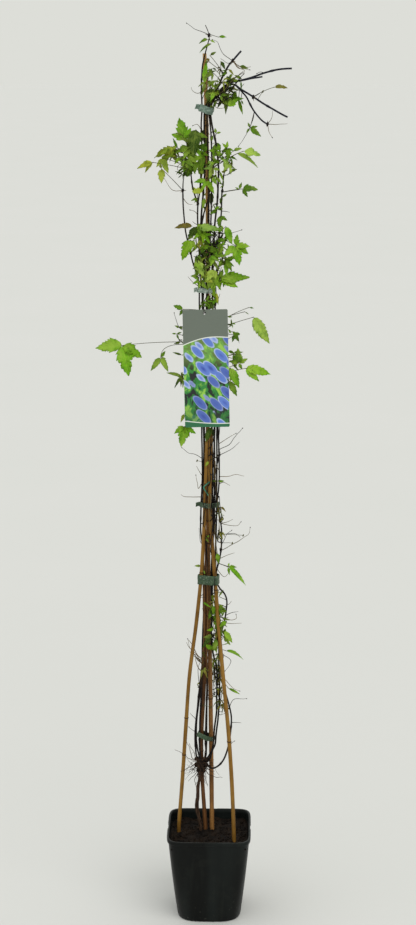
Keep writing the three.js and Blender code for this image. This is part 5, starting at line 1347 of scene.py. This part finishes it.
# %% The clusters of each stem: kind, left, right, low and high in millimetres, and how many
CLUSTER_NOTES = """
vine_left
young -42 -20 1195 1260 4
half -58 -26 1330 1362 5
strand -18 -6 660 860 2
dry -22 -10 420 520 4
young -51 -44 1038 1078 5
young -51 -42 972 1012 5
straw -26 -18 442 494 5
vine_tall
half -46 -10 1312 1400 9
large -46 -14 1350 1398 10
olive -80 -54 1348 1374 6
pale -18 -2 1150 1205 5
half -26 -4 1145 1225 9
strand -12 4 660 870 4
stub -22 -6 1144 1222 10
curly -24 -6 1160 1226 8
vine_mid
crumpled -6 34 1440 1490 15
curly 0 34 1480 1512 6
shoot -4 24 1440 1480 6
young -8 10 1150 1400 7
strand -6 6 680 880 6
large -16 10 1146 1238 6
stub -12 10 1104 1110 7
vine_inner
dry 9 15 430 480 6
strand 0 12 660 870 5
half -12 8 1300 1400 5
shoot -2 20 1440 1470 4
crumpled 2 44 1445 1485 6
stub -8 14 1146 1232 12
stub 7 14 398 462 9
vine_front
fresh 2 34 1330 1375 8
dry 12 25 700 760 10
half 4 30 490 600 5
large 6 30 498 610 6
strand 2 18 660 870 6
dry 14 28 392 412 7
half -16 10 1145 1250 12
young -12 12 1110 1124 9
stub 0 10 498 560 9
crumpled 2 12 505 600 6
vine_low
half 4 28 1145 1240 12
crumpled 4 34 1445 1475 7
dry 2 16 480 535 7
strand 2 12 600 860 4
stub 2 16 1146 1238 9
vine_right
half 14 40 1180 1240 6
curly 10 40 1325 1362 7
fresh 36 49 978 1048 6
young 36 46 1052 1082 3
dry 8 20 400 540 9
strand 8 18 430 860 5
fresh 8 24 480 600 6
young 14 26 1250 1320 4
stub 10 20 400 468 12
dry 10 18 412 465 6
vine_back
strand -14 4 500 860 3
young -14 10 1180 1400 8
"""

# %% Reading the clusters
def read_clusters(notes):
    """The clusters of every vine, each with its kind, left, right, low, high and number."""
    clusters = {}
    for word, *rest in (row.split() for row in notes.split("\n") if row):
        if rest:
            vine.append((word, *numbers(rest)))
        else:
            vine = clusters[word] = []
    return clusters


CLUSTERS = read_clusters(CLUSTER_NOTES)
print(sum(int(row[-1]) for rows in CLUSTERS.values() for row in rows), "young leaves, scraps and strands")

# %% What each kind is: a leaf's colours, lengths and sag, or a rod's direction, shortest and longest
KINDS = {
    "young": (("bright", "mid", "mid", "dark"), (8, 16), 0.15), "half": (("bright", "mid", "dark"), (14, 24), 0.2),
    "large": (("mid", "bright", "dark"), (22, 33), 0.25), "fresh": (("bright", "pale", "mid"), (13, 22), 0.2),
    "pale": (("pale", "yellow"), (17, 27), 0.2), "olive": (("olive", "yellow", "olive", "yellow"), (17, 26), 0.4),
    "curly": (("brown", "dark", "yellow", "mid"), (9, 17), 0.6),
    "crumpled": (("dark", "mid", "dark", "olive", "dark", "brown"), (14, 23), 0.6),
    "dry": (("brown", "brown", "dark"), (7, 13), 0.9)}
WAYS = {"strand": (np.array([0.06, 0, 1.0]), 30, 85), "shoot": (np.array([0.8, -0.1, 0.6]), 22, 52),
        "stub": (np.array([0.1, -0.1, 1.0]), 14, 34), "straw": (np.array([-0.7, 0, 0.75]), 14, 34)}
LONGEST_STALK, BLADE_TURN, FRONT_STRANDS_ABOVE = 38.0, 62, 600


def add_cluster(piece, samples, cluster, chance, behind):
    """For each member a place in the box, but no further from the stem than the longest stalk. A strand, a shoot,
    a stub or a straw is a thin rod that leaves the stem, and the rest is a leaf of one to three short blades,
    which faces anywhere within 50 degrees of the front."""
    kind, left, right, low, high, count = cluster
    for k in range(int(count)):
        x, z = chance.uniform(left, right), chance.uniform(low, high)
        foot = nearest(samples, (x, z - chance.uniform(3, 12)))
        x, z = foot[[0, 2]] + ((x, z) - foot[[0, 2]]) * min(1, LONGEST_STALK / math.dist((x, z), foot[[0, 2]]))
        y = foot[1] + (1 if behind else -1) * chance.uniform(1.5, 6) * (4 if behind and kind in KINDS else 1)
        if kind in WAYS:
            y = chance.uniform(-14.5, -11) if kind == "strand" and z > FRONT_STRANDS_ABOVE and not behind else y
            way, shortest, longest = WAYS[kind]
            rise = way * chance.uniform(shortest, longest) * (1, 1, -1 if kind == "strand" and k % 3 == 0 else 1)
            rise = rise + (kind != "strand") * chance.normal(size=3) * (7, 3, 7)
            line = smooth_line([foot, (x, y, z), (x, y, z) + rise / 2, (x, y, z) + rise], 8)
            thin = np.linspace(1.1, 0.45, len(line)) * chance.uniform(0.6, 1.1) * (1 + 0.4 * (kind == "shoot"))
            tone = DRY if k % 4 == 3 or kind == "straw" else RIPE
            piece.add(rod(wandering(line, 0.9, k, 13), thin, 6), 0, varied(tone, chance))
            continue
        tones, lengths, sag = KINDS[kind]
        turn, size = chance.uniform(0, 360), chance.uniform(*lengths)
        blades = [(turn + BLADE_TURN * j, size * chance.uniform(0.6, 1)) for j in range(chance.integers(1, 4))]
        form = ("oval", "broad", "narrow")[k % 3]
        add_leaf(piece, samples, ((foot[0], foot[2]), (x, y, z), chance.uniform(-50, 50), chance.uniform(-10, 40),
                                  sag * chance.uniform(0.4, 1), form, tones[k % len(tones)], blades), chance)


# %% A stem: its colours and its thickness
JOINT_GAP, JOINT_WIDTH, JOINT_SWELL = 83, 2.6, 0.55


def add_stem(piece, name, number, points, chance):
    """The first line of a vine starts at the knot, and the others at the stem. The radius is a slow taper, a
    narrower end (a pruned stem has none), a wider foot and a bell at each old joint."""
    pruned = name in PRUNED
    line = smooth_line([KNOT] + points if number == 0 else points, 7)
    far = distance_along(line)
    joints = np.arange(40, far[-1] - 20, JOINT_GAP)
    joints = joints + chance.uniform(-12, 12, len(joints))
    taper = 1.0 if pruned else np.clip((far[-1] - far) / 60, 0.25, 1) ** 0.5
    thin = (1.55 - 0.3 * (not pruned) * far / far[-1] - 0.2 * (number > 0)) * taper
    thin = thin + 0.9 * np.exp(-far / 7) * (number == 0)
    thin = thin + JOINT_SWELL * bell(far[:, None] - joints[None], JOINT_WIDTH).sum(1)
    tint = blend(RIPE, YOUNG, np.clip((line[:, 2] - 700) / 800, 0, 1))
    if name in WOODY:
        tint = blend(tint, OLD, 0.85 * np.exp(-(((line[:, 2] - 550) / 95) ** 4)))
    if pruned:
        tint = blend(tint, SLATE, np.clip((line[:, 0] - 20) / 25, 0, 1))
    piece.add(rod(wandering(line, 0.22, number + len(name)), thin, 8), 0, tint)


# %% Stems, twigs, knots and buds
DARK_TWIGS_BELOW = 420


def make_vine(name, vine):
    """Everything of one stem, in the order of its notes, and its clusters."""
    piece = Piece()
    chance = np.random.default_rng(sum(map(ord, name)))
    samples = np.vstack([along_straights(points) for points in vine["stem"]])
    for number, points in enumerate(vine["stem"]):
        add_stem(piece, name, number, points, chance)
    for row in vine["leaf"]:
        add_leaf(piece, samples, row, chance)
    for number, (start, *points) in enumerate(vine["twig"]):
        line = wandering(smooth_line([nearest(samples, start), *points], 7), 0.5, number, 11)
        thin = np.linspace(0.62, 0.28, len(line))
        dark = number % 3 == 0 or line[0, 2] < DARK_TWIGS_BELOW
        piece.add(rod(line, thin, 6), 0, varied(YOUNG if dark else DRY, chance))
        if number % 2 == 0:
            piece.add(lump(line[-1], (0.8, 0.8, 1.4), line[-1] - line[-2], 5, 6), 0, varied(YOUNG, chance))
    for number, place in enumerate(vine["knots"]):
        centre = nearest(samples, place)
        piece.add(lump(centre, (2.3, 2.3, 3.6), (0.2, 0, 1), 9, 10, 0.12, number), 0, varied(RIPE, chance))
        for _ in range(3):
            end = centre + unit(chance.normal(size=3) * (1, 0.6, 1)) * chance.uniform(4, 7)
            piece.add(rod(np.linspace(centre, end, 4), (0.9, 0.7, 0.5, 0.3), 6), 0, varied(DRY, chance))
    for number, place in enumerate(vine["buds"]):
        piece.add(lump(place, (1.3, 1.1, 2.4), (0.3, 0, 1), 7, 8, 0.1, number), 0, varied(STALK, chance))
        line = np.linspace(nearest(samples, (place[0], place[2])), place, 5)
        piece.add(rod(wandering(line, 0.4, number), 0.4, 6), 0, varied(STALK, chance))
    for cluster in CLUSTERS[name]:
        add_cluster(piece, samples, cluster, chance, name in BEHIND)
    piece.make(name + "_growth", [STEM_SKIN, LEAF_BLADE], [name])


for name, vine in VINES.items():
    make_vine(name, vine)


# %% [markdown]
# ## Ties
#
# The grower binds stems and canes with strips of soft plastic, pulled tight and left with a short tail. Such a
# strip takes the convex outline round everything that it holds, so that outline is worked out: circles round the
# members, and the outermost of their points. A rounded profile is carried round it, and the plastic is creased by
# sines of the way round.

# %% Soft plastic strip
def strip_plastic(name, colour, light, clear=0.0):
    finish = Finish(name, Specular_IOR_Level=0.4)
    place = finish.place()
    crease = finish.noise(place, (160, 160, 620), 4, 0.6, 0.5, (0.3, 0.1, 0))
    rub = finish.noise(place, 420, 3).rise(0.55, 0.75)
    body = finish.coats(colour, (crease.rise(0.35, 0.7), light), (rub * 0.4, (196, 200, 190)))
    if clear:
        finish.set(Alpha=1 - clear * (1 - crease.rise(0.4, 0.7)))
    return finish.done(body, crease, 0.0009, Roughness=0.32 + crease * 0.25)


# The pale strip's dark tone, which shows between its lighter creases, is partly painted shade: the shade of the stems
# seen through the plastic.
PALE_STRIP = strip_plastic("pale strip", (70, 92, 78), (128, 152, 138))
CLEAR_STRIP = strip_plastic("clear strip", (124, 144, 132), (186, 200, 190), 0.36)
GREEN_STRIP = strip_plastic("green strip", (38, 60, 40), (62, 88, 58))

# %% The ties: height, width, tilt in degrees, slack, reach and width of the tail, what they hold, their finish
STEMS, STEM_RADIUS = list(VINES), 1.4
TIES = {
    "tie_top": (1432, 12, 18, 0.7, (8, 9), ["cane_tall", "vine_tall", "vine_mid", "vine_inner", "vine_low",
                                            "vine_back"], PALE_STRIP, "pale_strip"),
    "tie_clear": (1135.5, 9, 0, 0.6, (7, 8), ["cane_tall"] + STEMS, CLEAR_STRIP, "pale_strip"),
    "tie_upper": (762, 9, 0, 0.6, (8, 8), ["cane_tall", "cane_left", "cane_right"] + STEMS, GREEN_STRIP,
                  "green_strip"),
    "tie_lower": (627.5, 17, 0, 0.7, None, list(CANES) + STEMS, GREEN_STRIP, "green_strip"),
    "tie_crown": (326, 9, 26, 0.6, None, ["cane_tall", "cane_brown", "vine_tall", "vine_mid", "vine_inner"],
                  GREEN_STRIP, "green_strip"),
}


def at_height(line, height):
    """The point where a line first reaches a height."""
    i = max(1, int(np.argmax(line[:, 2] >= height)))
    a, b = line[i - 1], line[i]
    return a + (b - a) * (height - a[2]) / (b[2] - a[2])


def outline_round(tie):
    """The convex outline round the members, as points and outward directions. Every member is a circle where it
    passes both edges and the middle of the strip, in the strip's own tilted plane, which five rounds find."""
    height, wide, tilt, slack, _, holds = tie[:6]
    cosine, sine = math.cos(math.radians(tilt)), math.sin(math.radians(tilt))
    turn = np.arange(32) * math.pi / 16
    directions = np.stack([np.cos(turn), np.sin(turn)], axis=-1)
    spots, ways = [], []
    for name in holds:
        cane = CANES.get(name)
        line = smooth_line(cane["route"], 24) if cane else along_straights(VINES[name]["stem"][0])
        radius = max(cane["foot"], cane["top"]) if cane else STEM_RADIUS
        for level in (-0.5 * wide, 0, 0.5 * wide):
            x = 0.0
            for _ in range(5):
                spot = at_height(line, height - x * sine + level * cosine)
                x = (spot[0] - level * sine) / cosine
            spots.append(np.array([x, spot[1]]) + (radius + slack) * directions)
            ways.append(directions)
    return convex(np.vstack(spots), np.vstack(ways))


def convex(spots, ways):
    """The outermost of the points, in order: walking along the sorted points, a point that would turn the wrong
    way is dropped. Long straight parts are then divided every 1.2 mm."""
    order = np.lexsort((spots[:, 1], spots[:, 0]))
    keep = []
    for half in (order, order[::-1]):
        chain = []
        for i in half:
            while len(chain) > 1:
                a, b = spots[chain[-1]] - spots[chain[-2]], spots[i] - spots[chain[-1]]
                if a[0] * b[1] - a[1] * b[0] > 1e-9:
                    break
                chain.pop()
            chain.append(i)
        keep += chain[:-1]
    line, way = spots[keep + keep[:1]], ways[keep + keep[:1]]
    far = distance_along(line)
    even = np.linspace(0, far[-1], 2 * int(far[-1] / 2.4) + 1)[:-1]
    points = np.stack([np.interp(even, far, line[:, k]) for k in (0, 1)], axis=-1)
    outward = unit(np.stack([np.interp(even, far, way[:, k]) for k in (0, 1)], axis=-1))
    return points, outward, even


# %% Making a tie
STRIP_THICK, TAIL_HALF_THICK = 0.85, 0.3
STRIP_OUT = np.array([0, 0, 0, 0, 0, 0.5, 1, 1, 1, 1, 1, 0.5])
STRIP_LEVEL = np.array([0.47, 0.25, 0, -0.25, -0.47, -0.5, -0.47, -0.25, 0, 0.25, 0.47, 0.5])


def tie_tail(end, reach, broad):
    """A short sheet that leaves the strip's end to the left. It bends forward and back by sines of the share
    along it, and is a little narrower in its middle."""
    s, t = np.linspace(0, 1, 12)[:, None], np.linspace(-0.5, 0.5, 7)[None, :]
    x = end[0] + 1.2 - reach * s - 0.8 * np.abs(t)
    y = end[1] + 1.6 * np.sin(3.0 * s + 1.0) - 1.3 + 0.5 * np.cos(8 * t + 3 * s)
    z = broad * t * (1 - 0.35 * s + 0.3 * s**2) + 0.7 * np.sin(4 * s)
    return sheet(np.stack([x, y, z], axis=-1), TAIL_HALF_THICK)


def make_tie(name, tie):
    """The profile carried round the outline: outline + outward x (thickness x out + crease), and up by the level.
    The finished strip is tilted about the middle and raised to its height."""
    height, wide, tilt, _, tail, _, finish, slot = tie
    points, outward, even = outline_round(tie)
    level, lap = STRIP_LEVEL * wide, even[:, None] / even[-1] * 2 * math.pi
    crease = 0.14 * np.sin(9 * lap + level / 1.7) + 0.10 * np.sin(17 * lap - level)
    flat = points[:, None] + outward[:, None] * (STRIP_THICK * STRIP_OUT + crease)[..., None]
    ring = np.concatenate([flat, (level + 0.35 * np.sin(3 * lap))[..., None]], axis=-1)
    piece = Piece()
    piece.add((ring, ring_faces(*ring.shape[:2], closed=True)[:, ::-1], ring))
    if tail:
        piece.add(tie_tail(points[np.argmin(points[:, 0])], *tail))
    cosine, sine = math.cos(math.radians(tilt)), math.sin(math.radians(tilt))
    tilted = np.array([[cosine, 0, -sine], [0, 1, 0], [sine, 0, cosine]])
    piece.points = [p @ tilted + (0, 0, height) for p in piece.points]
    piece.make(name + "_strip", [finish], [name])


for name, tie in TIES.items():
    make_tie(name, tie)


# %% [markdown]
# ## The coated wire and the label's cord
#
# A short piece of teal coated wire is hooked over the left cane. It is two wires under one skin, so it shows as a
# flat, ribbed rod. The label hangs on a dark cord of two twisted strands: each strand is the cord's line
# moved sideways by a circle that turns with the distance along.

# %% Wire coating and cord
def teal_coating():
    finish = Finish("teal coating", Coat_Weight=0.5, Coat_Roughness=0.2)
    wear = finish.noise(finish.place(), 380, 4)
    body = finish.mix(wear.rise(0.45, 0.75), (0, 108, 80), (18, 136, 106))
    ridge = finish.noise(finish.attribute("laid"), (900, 900, 90), 2)
    return finish.done(body, ridge, 0.0004, Roughness=0.3 + wear * 0.2)


def dark_cord():
    finish = Finish("dark cord", Roughness=0.8)
    fibre = finish.noise(finish.attribute("laid"), (3000, 3000, 260), 3, turn=(0.4, 0, 0))
    return finish.done(finish.mix(fibre.rise(0.4, 0.7), (26, 22, 20), (70, 60, 50)), fibre, 0.0003)


TEAL_COATING, DARK_CORD = teal_coating(), dark_cord()

# %% The wire and the two strands
TWIST = [(0.5, -12.6, 805), (-4, -10.6, 800.5), (-9.4, -10.2, 794.5), (-6, -10.6, 788), (-1, -12.4, 780)]
LOOP = [(-3.8, -4.9, 1112), (-7.6, -8, 1113), (-8.6, -13, 1111), (-8.6, -19.6, 1107.5), (-8.2, -20.6, 1101),
        (-7.9, -18, 1098), (-6.4, -13.4, 1100), (-1.4, -12.4, 1107), (0, -9, 1111), (-0.6, -5.4, 1112)]
STRAND_TURNS, STRAND_REACH, STRAND_RADIUS = 14, 0.34, 0.4

wire = Piece()
wire.add(rod(smooth_line(TWIST, 12), 1.3, 12, flat=0.8))
wire.make("twist_wire_coated", [TEAL_COATING], ["twist_wire"])

cord = Piece()
line = smooth_line(LOOP, 14, closed=True)
run = unit(np.roll(line, -1, axis=0) - np.roll(line, 1, axis=0))
side = unit(np.cross(run, [0.3, 1, 0.2]))
lap = distance_along(line) / distance_along(np.vstack([line, line[:1]]))[-1]
for half in (0, 1):
    turn = (lap * 2 * math.pi * STRAND_TURNS + half * math.pi)[:, None]
    strand = line + STRAND_REACH * (np.cos(turn) * side + np.sin(turn) * np.cross(run, side))
    cord.add(rod(strand, STRAND_RADIUS, 6, closed=True))
cord.make("label_cord", [DARK_CORD], ["label_loop"])

# %% [markdown]
# ## The hanging card
#
# The card is printed board with a punched hole. It has a grey head, a picture of blue and green, and a green foot,
# with a curved white rule between them. The picture is a plain pattern: blue ovals in slanting rows over soft
# green blots. The print reads laid, which holds the place on the card, so it stays put on the board when the card
# leans. The board is one closed sheet: rings from the hole out to the edge, and back again behind.

# %% The card's measures, in millimetres
CARD_WIDTH, CARD_HEIGHT, CARD_THICK, CARD_CORNER = 76.0, 201.0, 0.8, 2.4
CARD_TOP, CARD_LEAN = np.array([-7, -17.5, 1104.6]), math.radians(1.2)
HOLE, HOLE_RADIUS = np.array([-1.0, -6.0]), 2.6
HEAD_EDGE, HEAD_SLANT, HEAD_BOW = 60, 0.16, 6.0
FOOT_EDGE, FOOT_BOW, FOOT_WAVE = 190.0, 5.0, 120
OVALS, OVAL_EVEN = 1.25, 0.55

# %% Printed card
def printed_card():
    """Right and low are millimetres from the card's middle and from its top. The head ends on a slanting bow, and
    the picture on another."""
    finish = Finish("printed card", Coat_Weight=0.2, Coat_Roughness=0.3)
    laid = finish.attribute("laid")
    right, low, side = finish.parts(laid)
    right, low = right * 1000 + CARD_WIDTH / 2, low * -1000
    head_edge = HEAD_EDGE - HEAD_SLANT * right - HEAD_BOW * (right * (math.pi / CARD_WIDTH)).one("sine")
    foot_edge = FOOT_EDGE + FOOT_BOW * (right * (math.pi / FOOT_WAVE)).one("sine")
    blot = finish.noise(laid, (60, 38, 1), 4, 0.6, 0.8)
    small, fibre = finish.noise(laid, 190, 3), finish.noise(laid, 900, 3)
    green = finish.coats((2, 18, 12), (blot.rise(0.43, 0.5), (34, 128, 46)), (blot.rise(0.52, 0.61), (146, 200, 72)),
                         (low.rise(110, 70) * 0.4, (150, 190, 84)), (low.rise(140, 190) * 0.4, (16, 48, 28)))
    slanting = finish.stretched(finish.stretched(laid, (1, 1, 1), (0, 0, 0.8)), (26, 60, 1))
    oval = finish.cells(slanting, OVALS, even=OVAL_EVEN)
    which = finish.parts(finish.cells(slanting, OVALS, output="Color", even=OVAL_EVEN))[0]
    petal = (oval + (small - 0.5) * 0.10).rise(0.57, 0.52) * which.rise(0.12, 0.16)
    blue = finish.coats((50, 74, 170), (oval.rise(0.02, 0.34), (92, 124, 206)),
                        (oval.rise(0.42, 0.53) * 0.8, (190, 204, 240)),
                        ((which * 7).one("fract").rise(0.4, 0.6) * 0.45, (40, 58, 140)))
    picture = finish.mix(petal, green, blue)
    head = finish.mix(small * 0.25, (98, 107, 97), (116, 124, 112))
    below = finish.mix(small * 0.3, (24, 96, 60), (30, 120, 74))
    rule = abs(low - head_edge).rise(1.1, 0.5).most(abs(low - foot_edge).rise(1.0, 0.4))
    back = finish.mix(fibre * 0.4, (222, 222, 214), (190, 190, 180))
    body = finish.coats(head, ((low - head_edge).rise(-0.4, 0.4), picture),
                        ((low - foot_edge).rise(-0.4, 0.4), below), (rule, (226, 230, 222)),
                        (side.rise(0.0004, 0.0006), back))
    return finish.done(body, fibre, 0.00006, Roughness=0.34 + fibre * 0.12)


PRINTED_CARD = printed_card()

# %% The card
def card_edge():
    """The card's outline, clockwise from the top left corner: four sides with points every few millimetres, and
    four corners that are quarter circles."""
    half, r = CARD_WIDTH / 2 - CARD_CORNER, CARD_CORNER
    middles = [(half, -r, 90), (half, r - CARD_HEIGHT, 0), (-half, r - CARD_HEIGHT, -90), (-half, -r, 180)]
    corners = []
    for x, y, start in middles:
        arc = np.radians(start - np.linspace(0, 90, 5))
        corners.append(np.array([x, y]) + r * np.stack([np.cos(arc), np.sin(arc)], axis=-1))
    edge = []
    for k in range(4):
        start, end = corners[k - 1][-1], corners[k][0]
        count = int(np.linalg.norm(end - start) / 4)
        edge += [start + (end - start) * np.arange(1, count)[:, None] / count, corners[k]]
    return np.vstack(edge)


def tipped(first, second, angle):
    """Two coordinates turned in their own plane."""
    return first * math.cos(angle) - second * math.sin(angle), first * math.sin(angle) + second * math.cos(angle)


def make_card():
    """Rings from the hole to the edge, spaced by a power of their share, and back behind. The board bows by
    0.8 mm across and curls 1.5 mm forward at its lower corners."""
    edge = card_edge()
    hole = HOLE + HOLE_RADIUS * unit(edge - HOLE)
    share = np.linspace(0, 1, 26)[:, None, None] ** 1.6
    flat = hole[None] + share * (edge - hole)[None]
    front = np.concatenate([flat, flat[::-1]])
    rings, around = front.shape[:2]
    right, low = front[..., 0], -front[..., 1]
    bow = 0.8 * np.cos(math.pi * right / CARD_WIDTH) + 1.5 * (low / CARD_HEIGHT) ** 3 * (2 * right / CARD_WIDTH) ** 2
    behind = np.where(np.arange(rings) < rings // 2, 0.0, 1.0)[:, None] + 0 * right
    x, z = tipped(right, -low, CARD_LEAN)
    y, z = tipped((behind - 0.5) * CARD_THICK - bow, z, -CARD_LEAN)
    points = np.stack([x, y, z], axis=-1) + CARD_TOP
    laid = np.stack([right, -low, behind], axis=-1)
    piece = Piece()
    piece.add((points, ring_faces(rings, around, True), laid))
    made = piece.make("hanging_card", [PRINTED_CARD], ["label"])
    made.data.polygons.foreach_set("use_smooth", np.zeros(len(made.data.polygons), bool))


make_card()

# %% [markdown]
# ## Floor and light
#
# The plant stands on a plain pale floor in even daylight. Lamps of a real size would fade over so wide a floor,
# and its far edge would then show as a line. So the daylight is made of three suns, each spread over a wide angle
# as a large soft lamp is, and the pale world does the rest. The floor's paint is a little darker than the world,
# so that, lit by both, it takes the world's tone.

# %% Floor
FLOOR_RADIUS_METRES, FLOOR_CORNERS = 60, 96


def floor_paint():
    finish = Finish("pale floor", Roughness=0.8, Specular_IOR_Level=0.0)
    finish.set(Base_Color=finish.mix(finish.noise(finish.place(), 1.3, 3), (205, 206, 204), (208, 208, 207)))
    return finish.material


floor_mesh = bpy.data.meshes.new("floor")
turn = np.arange(FLOOR_CORNERS) * 2 * math.pi / FLOOR_CORNERS
rim = FLOOR_RADIUS_METRES * np.stack([np.cos(turn), np.sin(turn), 0 * turn], axis=-1)
floor_mesh.from_pydata(rim.tolist(), [], [list(range(FLOOR_CORNERS))])
floor_mesh.materials.append(floor_paint())
new_object("floor", floor_mesh)
print("The floor is", 2 * FLOOR_RADIUS_METRES, "m wide")

# %% Suns and world
def soft_sun(name, way, strength, spread, colour):
    """A sun that shines from the direction way, spread over that many degrees."""
    data = bpy.data.lights.new(name, "SUN")
    data.energy, data.angle, data.color = strength, math.radians(spread), colour
    way = unit(np.array(way, float))
    lamp = new_object(name, data)
    lamp.location = way * 3
    lamp.rotation_euler = (math.acos(way[2]), 0, math.atan2(way[1], way[0]) + math.pi / 2)


soft_sun("daylight", (0.5, -0.75, 0.95), 1.1, 50, (1.0, 0.99, 0.96))
soft_sun("fill", (-0.8, -0.5, 0.8), 0.45, 70, (0.97, 0.98, 1.0))
soft_sun("back light", (-0.2, 0.8, 1.0), 0.4, 70, (1.0, 1.0, 1.0))
world = bpy.data.worlds.new("pale room")
world.use_nodes = True
world.node_tree.nodes["Background"].inputs["Color"].default_value = paint(221, 222, 216)
bpy.context.scene.world = world
bpy.context.scene.view_settings.view_transform = "Standard"
